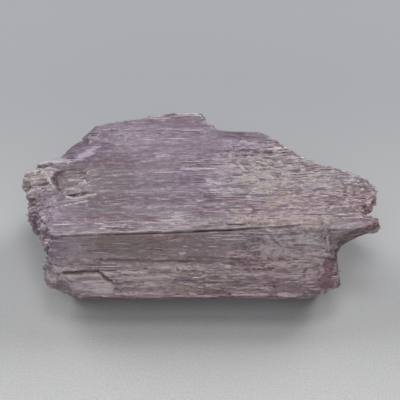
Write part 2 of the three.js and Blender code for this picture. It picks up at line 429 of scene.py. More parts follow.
class Covers(dict[Coat, Array]):
    """How fully each coat covers each point."""

    def add(self, coat: Coat, cover: Array) -> None:
        """Adds a cover to a coat, wherever it is the fuller of the two."""
        self[coat] = np.maximum(self[coat], cover)

    def thin(self, loss: Array, *coats: Coat) -> None:
        """Takes a share away from the covers of some coats."""
        for coat in coats:
            self[coat] = self[coat] * (1.0 - loss)


@dataclass(frozen=True)
class Patch:
    """A place on the upper side with a coat of its own, long and ragged along the fibres. Sizes are in mm."""

    coat: Coat
    x: float
    y: float
    half_x: float
    half_y: float
    strength: float = 1.0  # how fully it covers
    lean: float = 0.0  # how far it shifts across for each millimetre along
    raggedness: float = 0.45  # how far its outline frays, as a share of its half size


@dataclass(frozen=True)
class Scar:
    """A shell-shaped break in the upper side, its floor sloping and its rim bruised. Sizes are in mm."""

    x: float
    y: float
    half_x: float
    half_y: float
    depth: float  # of its middle
    tilt_x: float  # how much deeper its floor gets for each half length along; below zero, shallower
    tilt_y: float  # how much deeper it gets for each half width across
    colour: float  # how deep in colour its floor is: the clean stone's own colour, and painted shade in the hollow
    rim: float  # how white its rim is

    def spread(self, points: Array) -> tuple[Array, Array, Array]:
        """Measures places in half sizes from the centre, on an outline that wavers a little.

        Args:
            points: places, mm.

        Returns:
            Along, across and distance; the rim is at a distance of 1.
        """
        waver = 1.0 + 0.22 * RIM_WAVER.at(points)
        right = (points[:, 0] - self.x) / self.half_x
        back = (points[:, 1] - self.y) / self.half_y
        return right, back, np.hypot(right, back) * waver


@dataclass(frozen=True)
class Chip:
    """A fresh flat chip: whatever stands above a sloping plane, within its reach, is broken away."""

    centre: Triple  # a point of the plane, mm
    facing: Triple  # which way the plane faces, of any length
    reach: float  # how far from the centre it extends, mm

    def away(self, points: Array) -> Array:
        """Measures how far points are from the chip's centre, mm."""
        return np.linalg.norm(points - self.centre, axis=1)

    def above(self, points: Array) -> tuple[Array, Array]:
        """Measures how far points stand above the plane, mm, and how well they are within its reach."""
        height = (points - self.centre) @ (np.array(self.facing) / np.linalg.norm(self.facing))
        return height, smooth(self.reach, 0.75 * self.reach, self.away(points))


@dataclass(frozen=True)
class Crack:
    """An open cleavage crack or a step in the upper side. Sizes are in mm."""

    route: Points  # the (x, y) points that it follows
    width: float  # half width of the groove
    depth: float  # below zero it is a raised lip
    stain: float = 0.0  # how much iron brown it holds
    coat: Coat | None = None  # what it shows, if it isn't stained
    waver: float = 0.3  # how far it strays from its route

    @staticmethod
    def stray(points: Array) -> Array:
        """Works out how the route of a crack with a waver of 1 mm strays at each point, along X and Y."""
        return np.stack([grain.at(points) for grain in CRACK_WAVER], axis=1)

    def near(self, points: Array, stray: Array) -> Array:
        """Measures how near points are to the route, seen from above, as a bell curve of the half width.

        Args:
            points: places, mm.
            stray: how routes stray there, which all cracks share.

        Returns:
            Shares, 1 on the route.
        """
        place = points[:, :2] + self.waver * stray
        least = np.full(len(points), np.inf)
        for start, stop in itertools.pairwise(np.array(self.route, float)):
            line = stop - start
            t = np.clip((place - start) @ line / (line @ line), 0.0, 1.0)
            least = np.minimum(least, np.linalg.norm(place - start - t[:, None] * line, axis=1))
        return np.exp(-((least / self.width) ** 2))


SCARS = (
    # The hollow beside the left end, deepest along its left and front.
    Scar(-32, -0.4, 4.4, 4.6, 0.75, -0.78, -0.5, 0.6, 0),
    # Breaks beside the crisp end face, at the right tip and in the rough field.
    Scar(-29.6, 13.2, 1.8, 1.5, 0.4, 0.3, 0.2, 0.7, 0.2),
    Scar(38.6, -1.6, 1.5, 0.8, 0.3, 0.1, 0.1, 0.2, 0.5),
    Scar(11.3, 10.2, 1.3, 0.7, 0.5, 0, 0.2, 0.9, 0.2),
    Scar(13.9, 9.4, 1, 0.6, 0.5, 0, 0.2, 0.9, 0.2),
    Scar(17.1, 9.5, 1.3, 0.7, 0.5, 0, 0.2, 0.9, 0.2),
    Scar(-23.6, 15.2, 2, 0.8, 0.3, 0.1, 0.1, 0.4, 0.3),
)
CHIPS = (
    # Three at the front right corner and two at the front left.
    Chip((31.2, -20.6, 14), (0.35, -0.45, 0.82), 2.9),
    Chip((30.2, -24, 11), (0.3, -0.75, 0.6), 3.7),
    Chip((27, -22.4, 13.4), (-0.15, -0.5, 0.8), 2.2),
    Chip((-37.4, -21.8, 12.4), (-0.6, -0.5, 0.6), 2.6),
    Chip((-33.2, -24.8, 10.2), (-0.35, -0.75, 0.5), 3),
)
CRACKS = (
    # Under the ridge and along it, then the lower left, the left bundle, the rest and the hollow's floor.
    Crack(((-33.6, -17.3), (-19, -16.7), (-7.5, -16.3), (-2, -16)), 0.18, 0.5, 0.45, None, 0.12),
    Crack(((-33, -16.6), (-19, -16.1), (-9, -15.7), (6, -15), (26, -13.6)), 0.15, -0.25, 0, Coat.MILK, 0.15),
    Crack(((-1.4, -15.9), (1, -15.7), (4.4, -15.4), (8, -15.2)), 0.26, 0.8, 0.8, None, 0.15),
    Crack(((8, -15.2), (14.5, -14.9)), 0.18, 0.5, 0.6, None, 0.15),
    Crack(((-5.5, -16.1), (-2, -15.9), (1.5, -15.6)), 0.45, 0.25, 0.6),
    Crack(((15, -14.9), (24, -14.3), (30, -14)), 0.18, 0.3, 0.2, None, 0.15),
    Crack(((-24.4, -20.4), (-12, -20.3), (0, -20.3), (8, -20.4)), 0.16, 0.5, 0.85, None, 0.05),
    Crack(((-0.5, -25.55), (3, -25.7), (7, -25.65)), 0.16, 0.35, 0.6, Coat.DEEP_AND_SHADE, 0.1),
    Crack(((-33, -22.9), (-28.6, -22.55), (-24.7, -22.35)), 0.24, 0.9, 0.9, None, 0.12),
    Crack(((-24.7, -22.35), (-23, -23.5), (-21.4, -24)), 0.2, 0.6, 0.8, None, 0.15),
    Crack(((-32, -23.6), (-28.6, -23.3), (-24, -23.1)), 0.26, -0.3, 0, Coat.MILK, 0.15),
    Crack(((-39.5, 3.5), (-37.8, 0.9), (-35.4, -2.1), (-33.8, -4.3), (-31.8, -5.6), (-29.7, -5.7),
           (-27.7, -4.8), (-25.7, -4.2)), 0.3, -0.35, 0, Coat.MILK),
    Crack(((-36.5, -8.7), (-31.8, -7.6), (-27.7, -6.4)), 0.14, -0.1, 0, Coat.MILK),
    Crack(((-44, -0.3), (-40.5, -0.8), (-38, -0.6)), 0.25, 0.8, 0.35),
    Crack(((-42, 4.9), (-39, 4.8), (-35.6, 4.4)), 0.3, 0.8, 0.45),
    Crack(((-44, 2.3), (-41.5, 2.2), (-39.8, 1.9)), 0.22, 0.5, 0.35),
    Crack(((-41.4, 6.4), (-37, 6.3), (-33, 6.4)), 0.5, -0.4, 0, Coat.MILK),
    Crack(((-43.2, 3.5), (-39.4, 3.3)), 0.35, -0.3, 0, Coat.MILK),
    Crack(((-43.6, 1), (-39, 0.8)), 0.35, -0.3, 0, Coat.MILK),
    Crack(((-42.6, -2), (-39, -2)), 0.3, -0.3, 0, Coat.MILK),
    Crack(((35, -0.4), (35.9, -2.4), (35.6, -4.5), (37.3, -6.4)), 0.22, 0.35, 0.5),
    Crack(((7.4, 8.6), (9.2, 6.2), (11.3, 3.2)), 0.28, -0.4, 0, Coat.MILK),
    Crack(((8, -3.9), (14, -4.7), (20, -4.5), (25, -3.4)), 0.2, 0.45, 0.4),
    Crack(((21, -9.4), (30, -9.2), (36, -9.5), (41, -10.1)), 0.2, 0.4, 0.3),
    Crack(((-4, -22.2), (8, -21.9), (22, -22.3)), 0.18, 0.35, 0.2),
    Crack(((-20, -24.4), (-2, -24.2), (18, -24.5)), 0.18, 0.3),
    Crack(((29.7, -11.8), (30.2, -15), (31, -17.8)), 0.36, -0.7, 0, Coat.MILK, 0.2),
    Crack(((29.8, -18.5), (31.6, -18.6), (33, -19.6), (33.4, -21.4)), 0.2, -0.35, 0, Coat.MILK),
    Crack(((-35, 3.9), (-31.5, 4.1), (-28.4, 3.8)), 0.3, 0.3, 0.35, Coat.DEEP_AND_SHADE),
    Crack(((-34.4, 2.6), (-31, 2.9), (-28, 2.6)), 0.28, 0.25, 0.3, Coat.DEEP_AND_SHADE),
    Crack(((-33.6, 1), (-30.6, 1.3)), 0.14, -0.15, 0, Coat.MILK),
    Crack(((-33.6, -0.4), (-30, -0.1)), 0.22, 0.2, 0.25, Coat.DEEP_AND_SHADE),
    Crack(((-33, -1.6), (-29.6, -1.3)), 0.14, -0.15, 0, Coat.MILK),
    Crack(((-36, 1.2), (-35.4, -0.6), (-34.6, -2.2), (-33.2, -3.7), (-30.8, -4.2),
           (-28.4, -4)), 0.6, 0.5, 0.4, Coat.DEEP_AND_SHADE),
)
# Each row: x, y, half_x, half_y, strength, lean and raggedness, as in Patch.
PATCHES = {
    # The rough field right of the middle, its streaks, both splintered tips and the front ledge.
    Coat.CLAY: (
        (15.5, 3.2, 12, 7.4, 0.66, -0.12), (28, 1, 9, 4.2, 0.5, -0.25), (20, -7.4, 11, 3.2, 0.4),
        (21, -12.4, 15, 3.2, 0.66), (4, -13.4, 9, 1.5, 0.45), (41, -3, 4, 6, 0.32),
        (-41, 0.6, 4.4, 3.2, 0.6), (-24, 15.2, 4.4, 1.2, 0.5), (-29, -21.6, 6, 1.3, 0.5),
        (25.6, -21.8, 2.4, 2.2, 0.45), (-6, -22.6, 12, 1.3, 0.28), (-5.5, -25, 3.6, 1, 0.6),
    ),
    # The facet beside the crisp end face, the lip above the ridge, flakes and opened cleavages.
    Coat.MILK: (
        (-28.2, 8.9, 2.6, 1.9, 1, 0.55, 0.85), (-35, 6.1, 5, 0.6, 0.8, 0.1, 0.2),
        (-6.6, -12.4, 3.8, 2.6, 0.45, 0, 0.2), (-1.2, 3.6, 4.2, 0.5, 0.9), (3.4, 1, 2.4, 4.4, 0.35, 0, 0.2),
        (-9.5, 9, 1.8, 1.6, 0.45), (-11.5, -23.9, 6, 0.9, 0.9), (-4.2, -21.3, 1.8, 0.32, 1, 0, 0.2),
        (-4.4, -19.1, 0.9, 0.2, 1, 0, 0.2), (-3.6, -18.1, 0.7, 0.16, 1, 0, 0.2),
        (-0.8, -21.2, 0.9, 0.26, 1, 0, 0.2), (-2.2, 21.2, 2.2, 0.8, 0.5), (0, -25.7, 28, 0.35, 0.6),
        (-16, -22.6, 14, 1.6, 0.22), (14, -19, 9, 1.2, 0.5), (21, -18.6, 10, 3, 0.85),
        (16, 12.6, 6, 1.4, 0.5), (18, 0, 14, 9, 0.3), (24, -10, 16, 4, 0.35), (-8.5, -21.6, 3.6, 0.4, 0.6),
        (-30, -23.6, 8, 2.4, 0.5), (-40.4, 2.4, 4.6, 3.4, 0.55), (-23.6, -25, 3.4, 1.1, 0.95),
        (-33, -22.6, 4.5, 2.4, 0.75),
    ),
    # The edge of the crisp end face, the band under the ridge, the front edge and the right slope.
    Coat.DEEP_AND_SHADE: (
        (-30.8, 12.2, 4.6, 2.2, 0.35, 1.37, 0.2), (21, 10.8, 6, 1.3, 0.6, -0.83, 0.3),
        (33, 3.6, 7, 1.1, 0.5, -0.42, 0.3), (-36, -23.4, 4, 0.9, 0.4, -0.6, 0.2),
        (-19, -12.8, 11, 2.8, 0.75), (-2, -21.8, 20, 1.7, 0.7), (33.6, -19, 1.6, 3, 0.8, 0, 0.2),
        (-16, -17.9, 18, 2.2), (12, -24.6, 18, 1.9), (22, -21, 8, 1, 0.4), (31.5, -16, 3, 3, 0.5, 0, 0.2),
        (30, -22.6, 4, 4.2, 0.8, 0, 0.2), (-20, -6, 14, 2.4, 0.4), (-24, 6, 9, 3, 0.35), (2, -7, 14, 2, 0.4),
        (4, -0.6, 8, 3, 0.4), (30, -5.4, 6, 1.3, 0.55), (38, -8, 8, 5, 0.6), (-6.6, 22.3, 1.6, 0.8, 0.6),
        (2, -25.2, 5, 0.9), (-5, 24.8, 9, 1.2, 0.8, 0, 0.2), (-2, -20, 14, 3, 0.35),
    ),
    # Iron in the shade of the ridge and on the back rim.
    Coat.STAIN_AND_SHADE: (
        (-18, -18.4, 12, 1.6, 0.5), (-3.4, 24.1, 6, 1.3, 0.45, 0, 0.15), (2, -17.6, 8, 0.8, 0.2),
        (-4, -22.4, 18, 2.2, 0.16),
    ),
    # The front of the crystal, the lower part of the left end and the right tip.
    Coat.ROSY: (
        (3, -22.5, 38, 6.2, 1, 0, 0.25), (42, -8, 9, 8, 0.9, 0, 0.3), (-8, -18.2, 24, 2.6, 1, 0, 0.3),
        (-6.6, 22.3, 1.8, 1, 0.8, 0, 0.3), (-43, -9, 6, 12, 0.6, 0, 0.3), (22, -9, 18, 6, 0.6, 0, 0.4),
    ),
    # The upper left, where the stone is cleanest, and the etched left end.
    Coat.VIOLET: (
        (-27, 12.5, 9, 6, 1, 0.6, 0.3), (0, 14, 22, 9, 0.7, 0, 0.3), (2, 1, 9, 6, 0.7, 0, 0.3),
        (-38, -10, 5, 9, 0.6, 0, 0.3), (-36, -19, 4, 4, 0.8, 0, 0.3),
    ),
    # The upper middle, the window above the ridge, the lower right and the lower left.
    Coat.HAZE: (
        (-7, 14, 14, 7, 0.8, 0, 0.3), (-6, -12.6, 5, 3, 0.7, 0, 0.2), (3.4, 1, 3, 5, 0.5, 0, 0.2),
        (21, -18.4, 10, 2.8, 1, 0, 0.3), (-33, -20.6, 7, 4.6, 1, 0, 0.3), (26, -20.4, 2.6, 2.6, 0.4, 0, 0.3),
    ),
    # Windows into the stone, and its back rims.
    Coat.CLEAR: (
        (-30.8, 12.2, 5.4, 2.6, 0.75, 1.37, 0.2), (-21.5, -1, 5, 5.5, 0.6), (-3, -18.3, 9, 2, 0.6),
        (12, -18, 9, 2.4, 0.5), (-25, -8.5, 6, 2, 0.5), (-6, 24.6, 10, 1.4, 1, 0, 0.15),
        (11, 17, 7, 0.9, 0.9, 0, 0.15),
    ),
    # The left end, the ragged back slope, the rough field and the right tip.
    Coat.ETCHED: (
        (-40, -10, 5, 9, 1, 0, 0.3), (-35, -22, 5, 4, 0.7), (-33.4, 0.2, 3.2, 4.2, 0.6),
        (-20, 15, 9, 4, 0.5), (42.5, -4.5, 6.5, 9), (18, 4, 12, 7, 0.75), (15, 11, 9, 4, 0.95),
        (18, -18.8, 10, 3.4, 0.95), (-30, -21, 7, 2.4, 0.4), (30, -21, 5, 5, 0.3),
    ),
    # The whole right half, the strip along the ridge, the front and the left bundle.
    Coat.FIBROUS: (
        (24, -2, 24, 16, 0.8), (-12, -14.4, 26, 1.8, 0.65), (-12, -23.2, 22, 4), (18, -23.4, 14, 3.6, 0.6),
        (14, -18, 18, 4, 0.25), (-40, 2, 6, 5), (0, 18, 30, 4, 0.15),
    ),
}
# Scattered where no patch is placed: the seed of each coat's clouds, and how strong a cloud shows as a patch.
SCATTERED = {
    Coat.CLAY: (61, 0.22), Coat.MILK: (62, 0.3), Coat.DEEP_AND_SHADE: (63, 0.05), Coat.CLEAR: (64, 0.2),
    Coat.FIBROUS: (65, -0.1), Coat.ROSY: (66, 0.0), Coat.VIOLET: (67, 0.0),
}


# Meshes


def normals_of(points: Array, faces: Array) -> Array:
    """Averages the area-weighted normals of the triangles around each point.

    Args:
        points: the mesh's points.
        faces: its triangles, shaped (m, 3).

    Returns:
        Unit normals, one for each point.
    """
    a, b, c = (points[faces[:, k]] for k in range(3))
    flat = np.cross(b - a, c - a)
    total = np.zeros_like(points)
    for corner, axis in itertools.product(range(3), range(3)):
        total[:, axis] += np.bincount(faces[:, corner], flat[:, axis], len(points))
    return total / np.maximum(np.linalg.norm(total, axis=1, keepdims=True), 1e-12)


def standing_out(points: Array, faces: Array, rounds: int = 5) -> Array:
    """Measures how far points stand out of the surface around them: the point less the mean of its
    neighbours, taken a few times over, along the normal.

    Args:
        points: the mesh's points.
        faces: its triangles.
        rounds: how many times the surface is smoothed to find what is around.

    Returns:
        n heights, below zero in hollows.
    """
    start, stop = faces.ravel(), np.roll(faces, -1, axis=1).ravel()
    count = np.bincount(start, minlength=len(points))
    rounded = points
    for _ in range(rounds):
        total = [np.bincount(start, rounded[stop, axis], len(points)) for axis in range(3)]
        rounded = 0.5 * rounded + 0.5 * np.stack(total, axis=1) / np.maximum(count, 1)[:, None]
    return ((points - rounded) * normals_of(rounded, faces)).sum(axis=1)


def new_object(name: str, data: bpy.types.ID) -> bpy.types.Object:
    """Makes an object at the origin and links it to the scene.

    Args:
        name: the object's name.
        data: its mesh, light or camera.

    Returns:
        The object.
    """
    made = bpy.data.objects.new(name, data)
    bpy.context.scene.collection.objects.link(made)
    return made


def skin(name: str, points: Array, faces: Array, flat: Array, values: dict[str, Array]) -> bpy.types.Object:
    """Makes an object from triangles, shaded smooth.

    Args:
        name: the object's name, and its mesh's.
        points: its points, mm.
        faces: its triangles, turned outwards.
        flat: a place on the unit square for each corner of each triangle, shaped (3 m, 2).
        values: a number for each point, under the name of its attribute.

    Returns:
        The object.
    """
    mesh = bpy.data.meshes.new(name)
    mesh.vertices.add(len(points))
    mesh.vertices.foreach_set("co", (points * MM).astype(np.float32).ravel())
    mesh.loops.add(faces.size)
    mesh.loops.foreach_set("vertex_index", faces.astype(np.int32).ravel())
    mesh.polygons.add(len(faces))
    mesh.polygons.foreach_set("loop_start", np.arange(0, faces.size, 3, dtype=np.int32))
    mesh.polygons.foreach_set("use_smooth", np.ones(len(faces), bool))
    mesh.update(calc_edges=True)
    mesh.validate()
    mesh.uv_layers.new(name="OFBake").uv.foreach_set("vector", flat.astype(np.float32).ravel())
    for title, numbers in values.items():
        layer = mesh.attributes.new(title, "FLOAT", "POINT")
        layer.data.foreach_set("value", numbers.astype(np.float32))
    return new_object(name, mesh)


def dress(piece: bpy.types.Object, material: bpy.types.Material) -> None:
    """Gives a piece its material and its body, hides the CAD part that it stands in for, and reports it.

    Args:
        piece: the piece's object.
        material: its one material.
    """
    piece.data.materials.append(material)
    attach(piece, CAD_BODY)
    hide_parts(CAD_NODE)
    LOG.info("%s: %d faces, %s", piece.name, len(piece.data.polygons), material.name)


@dataclass
class Sheet:
    """One side of the crystal as a grid of points, before the sides are joined."""

    share: Array  # place of each point along its fibre
    y: Array  # place of each point across the bundle, mm
    level: Array
    right: Array  # how far right each point lies on the flat map
    up: float  # how far up the map the sheet starts
    columns: int
    flip: bool  # whether its faces are turned round to point outwards

    @property
    def flat(self) -> Array:
        """The place of each point on the unit square of the flat map, row above row.

        Returns:
            Places, shaped (n, 2).
        """
        rows = len(self.y) // self.columns
        row = np.repeat(np.arange(rows) / (rows - 1), self.columns)
        return np.stack([self.right, row * 0.48 + self.up], axis=1)

    def triangles(self, start: int) -> Array:
        """Splits every cell of the grid into two triangles.

        Args:
            start: the index of the sheet's first point among the points of all the sheets.

        Returns:
            Triangles, turned outwards, shaped (m, 3).
        """
        index = start + np.arange(len(self.y)).reshape(-1, self.columns)
        a, b, c, d = index[:-1, :-1], index[:-1, 1:], index[1:, 1:], index[1:, :-1]
        cells = np.stack([np.stack([a, b, c], -1), np.stack([a, c, d], -1)], 2).reshape(-1, 3)
        return cells[:, ::-1] if self.flip else cells


@dataclass
class CrystalBody:
    """The kunzite crystal: its form, its growth lines and breaks, and its coats."""

    form: CrystalForm
    rows: int = 214  # grid lines across the bundle
    columns: int = 178  # grid lines along the fibres
    floors: int = 44  # grid lines up each broken end
    scars: tuple[Scar, ...] = SCARS
    chips: tuple[Chip, ...] = CHIPS
    cracks: tuple[Crack, ...] = CRACKS
    patches: tuple[Patch, ...] = tuple(Patch(coat, *row) for coat, rows in PATCHES.items() for row in rows)
    seen_from: Pair = (0.55, 0.8)  # levels where placed coats start to show, and show fully
    fray: Grain = Grain(7.0, 0.9, 40, 3, 0.6)  # how the outlines of patches fray along the fibres
    sway: Grain = Grain(9.0, 3.0, 44, 2)  # how they bulge
    laths: Grain = Grain(20.0, 2.6, 11)  # flat growth laths
    lath_step: float = 0.18  # step from lath to lath, mm, and up to as much again on fibrous stone
    strips: Grain = Grain(8.0, 1.1, 12)  # finer strips on fibrous stone
    strip_step: float = 0.34  # step from strip to strip, mm
    ribs: Grain = Grain(26.0, 1.4, 13, 2, 0.6)  # soft growth ribs
    rib_height: float = 0.06  # mm
    pits: Grain = Grain(2.1, 1.3, 15)  # pits in etched stone
    pit_depth: float = 1.0  # mm
    grit: Grain = Grain(1.0, 0.7, 16)  # grains of etched stone and clay
    grit_height: float = 0.4  # mm
    shells: Grain = Grain(3.6, 2.6, 17)  # shell-shaped breaks in the ends
    shell_depth: float = 0.7  # mm
    shell_step: float = 0.6  # step from shell to shell, mm
    facets: Grain = Grain(9.0, 5.2, 19)  # broad facets where the ends are undercut
    facet_step: float = 1.3  # step from facet to facet, mm
    facet_bulge: float = 2.2  # how far the most rounded stand out in their middle, mm

    def stations(self) -> Array:
        """Spreads the grid lines over Y so that they lie evenly along the section, steep faces included, and
        twice as close at the ridge, where the cracks are.

        Returns:
            Y of each grid line, mm.
        """
        form = self.form
        y = np.linspace(form.front_y, form.back_y, 4001)
        upper, lower = along(form.upper_curve, y), along(form.lower_curve, y)
        step = np.hypot(np.diff(y), np.diff(upper)) + 0.3 * np.hypot(np.diff(y), np.diff(lower))
        step *= 1.0 + np.exp(-(((y[1:] - form.ridge_y) / 1.5) ** 2))
        run = np.concatenate([[0.0], np.cumsum(step)])
        return np.interp(np.linspace(0.0, run[-1], self.rows), run, y)

    def sheets(self) -> tuple[Sheet, ...]:
        """Lays out the four sides, which share their border points, each with its own oblong of the flat map.
        The points of a fibre lie a little closer towards both its ends, and those up an end towards the top.

        Returns:
            The upper and lower sides, and the left and right ends.
        """
        even = np.linspace(0.0, 1.0, self.columns)
        fibre = 0.72 * even + 0.28 * (1.0 - np.cos(np.pi * even)) / 2.0
        floor = 1.0 - (1.0 - np.linspace(0.0, 1.0, self.floors)) ** 1.25
        y, run = (a.ravel() for a in np.meshgrid(self.stations(), fibre, indexing="ij"))
        beside, height = (a.ravel() for a in np.meshgrid(self.stations(), floor, indexing="ij"))
        ones, zeros = np.ones_like, np.zeros_like
        # The long sides take the left two thirds of the map and the ends the rest, with small gaps between.
        side, end = run * 0.68 + 0.01, height * 0.28 + 0.71
        return (
            Sheet(run, y, ones(run), side, 0.51, self.columns, False),
            Sheet(run, y, zeros(run), side, 0.01, self.columns, True),
            Sheet(zeros(height), beside, height, end, 0.51, self.floors, False),
            Sheet(ones(height), beside, height, end, 0.01, self.floors, True),
        )

    def build(self) -> bpy.types.Object:
        """Joins the four sides, adds growth lines and breaks, and writes the mesh with its coats.

        Returns:
            The crystal's object.
        """
        sheets = self.sheets()
        share, y, level, flat = (
            np.concatenate([getattr(s, name) for s in sheets]) for name in ("share", "y", "level", "flat")
        )
        loose = self.form.place(share, y, level)
        starts = np.cumsum([0] + [len(s.y) for s in sheets[:-1]])
        corners = np.concatenate([s.triangles(start) for s, start in zip(sheets, starts)])
        _, first, merged = np.unique(np.round(loose, 5), axis=0, return_index=True, return_inverse=True)
        faces = merged.reshape(-1)[corners]
        real = (faces[:, 0] != faces[:, 1]) & (faces[:, 1] != faces[:, 2]) & (faces[:, 2] != faces[:, 0])
        faces, corners = faces[real], corners[real]
        points, level = loose[first], level[first]
        covers = self.covers(points, level)
        points = self.carved(points, faces, level, covers)
        self.bruise_and_paint_light(points, faces, covers)
        values = {coat.value: cover for coat, cover in covers.items()}
        return skin("kunzite_crystal_skin", points, faces, flat[corners], values)

    def covers(self, points: Array, level: Array) -> Covers:
        """Works out how fully each coat covers each point: placed patches, frayed along the fibres by a
        stretched grain; scattered patches of the same kind on the sides, back and underside; then the ends,
        the scars, the chips and the cracks.

        Args:
            points: places, mm.
            level: their levels.

        Returns:
            The covers.
        """
        fray = self.fray.at(points) + 0.6 * self.sway.at(points)
        x, y, _ = points.T
        covers = Covers((coat, np.zeros(len(points))) for coat in Coat)
        seen = smooth(*self.seen_from, level)
        for patch in self.patches:
            across = y - patch.y - patch.lean * (x - patch.x)
            away = np.hypot((x - patch.x) / patch.half_x, across / patch.half_y) + patch.raggedness * fray
            covers.add(patch.coat, patch.strength * smooth(1.3, 0.6, away) * seen)
        for coat, (seed, rarity) in SCATTERED.items():
            cloud = Grain(seed=seed, **CLOUDS).at(points)
            covers.add(coat, 0.7 * smooth(rarity, rarity + 0.2, cloud) * (1.0 - seen))
        inwards = self.form.inwards(points, level)
        broken = smooth(3.0, 0.8, inwards) * (1.0 - 0.85 * self.form.crisp(x, y))
        shaded_recess = self.form.undercut(x, y) * smooth(2.2, 1.0, inwards)
        gritty = broken * (0.4 + 0.6 * seen)
        covers.add(Coat.ETCHED, 0.4 * gritty)
        covers.add(Coat.MILK, 0.25 * broken)
        covers.add(Coat.FIBROUS, 0.5 * gritty)
        # Painted shade in the undercut of the right end: the deep colour and some iron brown, with no
        # bruises, clay or haze.
        covers.add(Coat.DEEP_AND_SHADE, shaded_recess)
        covers.thin(0.9 * shaded_recess, Coat.MILK, Coat.CLAY, Coat.HAZE)
        covers.add(Coat.STAIN_AND_SHADE, 0.3 * shaded_recess)
        for scar in self.scars:
            _, _, away = scar.spread(points)
            fresh = smooth(1.08, 0.92, away) * seen
            covers.thin(0.9 * fresh, Coat.FIBROUS, Coat.CLAY, Coat.MILK, Coat.DEEP_AND_SHADE)
            # The scar's floor: the clean stone's deep colour, and painted shade in the hollow.
            covers.add(Coat.DEEP_AND_SHADE, scar.colour * fresh)
            covers.add(Coat.FRESH, 0.25 * fresh)
            covers.add(Coat.MILK, scar.rim * np.exp(-(((away - 1.04) / 0.12) ** 2)) * seen)
        for chip in self.chips:
            height, near = chip.above(points)
            fresh = near * smooth(-0.1, 0.2, height)
            covers.thin(0.9 * fresh, Coat.FIBROUS, Coat.CLAY, Coat.MILK, Coat.ETCHED, Coat.DEEP_AND_SHADE)
            covers.add(Coat.FRESH, fresh)
            covers.add(Coat.MILK, 0.55 * near * np.exp(-(((height + 0.05) / 0.1) ** 2)))
        stray = Crack.stray(points)
        for crack in self.cracks:
            near = crack.near(points, stray) * seen
            covers.add(Coat.STAIN_AND_SHADE, np.minimum(1.0, 1.6 * near) * crack.stain)
            if crack.coat is not None:
                covers.add(crack.coat, np.minimum(1.0, 1.3 * near))
        return covers

    def relief(self, points: Array, level: Array, covers: Covers) -> Array:
        """Works out how far the real surface stands above the smooth form.

        It adds up, in millimetres: flat laths and finer strips, which are cells stretched along X, each at a
        height of its own; soft growth ribs; pits and grit where the coats are etched or clay; shell-shaped
        cells and broad facets at the broken ends; scars, whose floors slope; and the cracks' grooves.

        Args:
            points: the smooth crystal, mm.
            level: the points' levels.
            covers: the coats.

        Returns:
            Heights, mm.
        """
        face = smooth(-0.2, 2.0, self.form.inwards(points, level))
        seen = smooth(*self.seen_from, level)
        sharp = 0.25 + 0.75 * covers[Coat.FIBROUS]
        _, lath = self.laths.cells(points)
        _, strip = self.strips.cells(points)
        step = self.lath_step + self.lath_step * sharp
        height = step * (lath - 0.5) + self.strip_step * sharp * (strip - 0.5)
        height = (height + self.rib_height * self.ribs.at(points)) * (0.35 + 0.65 * face)
        pits, _ = self.pits.cells(points)
        grit, _ = self.grit.cells(points)
        rough = np.maximum(covers[Coat.ETCHED], 0.6 * covers[Coat.CLAY])
        height += rough * (self.pit_depth * (0.5 - pits) + self.grit_height * (grit - 0.5))
        shells, shell = self.shells.cells(points)
        facets, facet = self.facets.cells(points)
        broad = self.facet_step * (facet - 0.7) + self.facet_bulge * (facet - 0.35) * (0.5 - facets)
        broad *= 1.0 - seen
        broken = (1.0 - face) * (1.0 - 0.9 * self.form.crisp(points[:, 0], points[:, 1]))
        height += broken * (self.shell_depth * (0.5 - shells) + self.shell_step * (shell - 0.5) + broad)
        for scar in self.scars:
            right, back, away = scar.spread(points)
            inside = smooth(1.05, 0.8, away) * seen
            floor = scar.depth + scar.tilt_x * right + scar.tilt_y * back
            height = height * (1.0 - 0.5 * inside) - np.maximum(floor, 0.0) * inside
        stray = Crack.stray(points)
        for crack in self.cracks:
            height -= crack.depth * crack.near(points, stray) * seen
        return height

    def carved(self, points: Array, faces: Array, level: Array, covers: Covers) -> Array:
        """Moves each point along its normal by the relief, and breaks the chips away.

        Args:
            points: the smooth crystal, mm.
            faces: its triangles.
            level: the points' levels.
            covers: the coats.

        Returns:
            The carved points, kept above the resting face and inside the crystal's box.
        """
        carved = points + normals_of(points, faces) * self.relief(points, level, covers)[:, None]
        for chip in self.chips:
            height, near = chip.above(carved)
            facing = np.array(chip.facing) / np.linalg.norm(chip.facing)
            carved = carved - (np.maximum(height, 0.0) * near)[:, None] * facing
        resting = points[:, 2] < 0.02
        carved[:, 2] = np.where(resting, 0.0, np.maximum(carved[:, 2], 0.0))
        limits = np.array([self.form.tip_x, -self.form.front_y])
        carved[:, :2] = np.clip(carved[:, :2], -limits, limits)
        return carved

    @staticmethod
    def bruise_and_paint_light(points: Array, faces: Array, covers: Covers) -> None:
        """Whitens the edges that stand out, partly as bruises and partly as a painted highlight, but not
        where the stone is clear, and paints shade into the hollows with the deep colour.

        Args:
            points: the carved crystal, mm.
            faces: its triangles.
            covers: the coats, which are changed in place.
        """
        standing = standing_out(points, faces)
        sharp = 0.3 + 0.7 * covers[Coat.FIBROUS]
        # Painted highlight, partly real bruising: white on the edges that stand out.
        covers.add(Coat.MILK, 0.95 * sharp * smooth(0.02, 0.13, standing) * (1.0 - 0.8 * covers[Coat.CLEAR]))
        # Painted shade: the hollows get the deep colour and lose their white.
        shaded_hollows = 0.8 * smooth(-0.02, -0.2, standing)
        covers.add(Coat.DEEP_AND_SHADE, shaded_hollows)
        covers.thin(0.7 * shaded_hollows, Coat.MILK)


# Splinters and inner veils


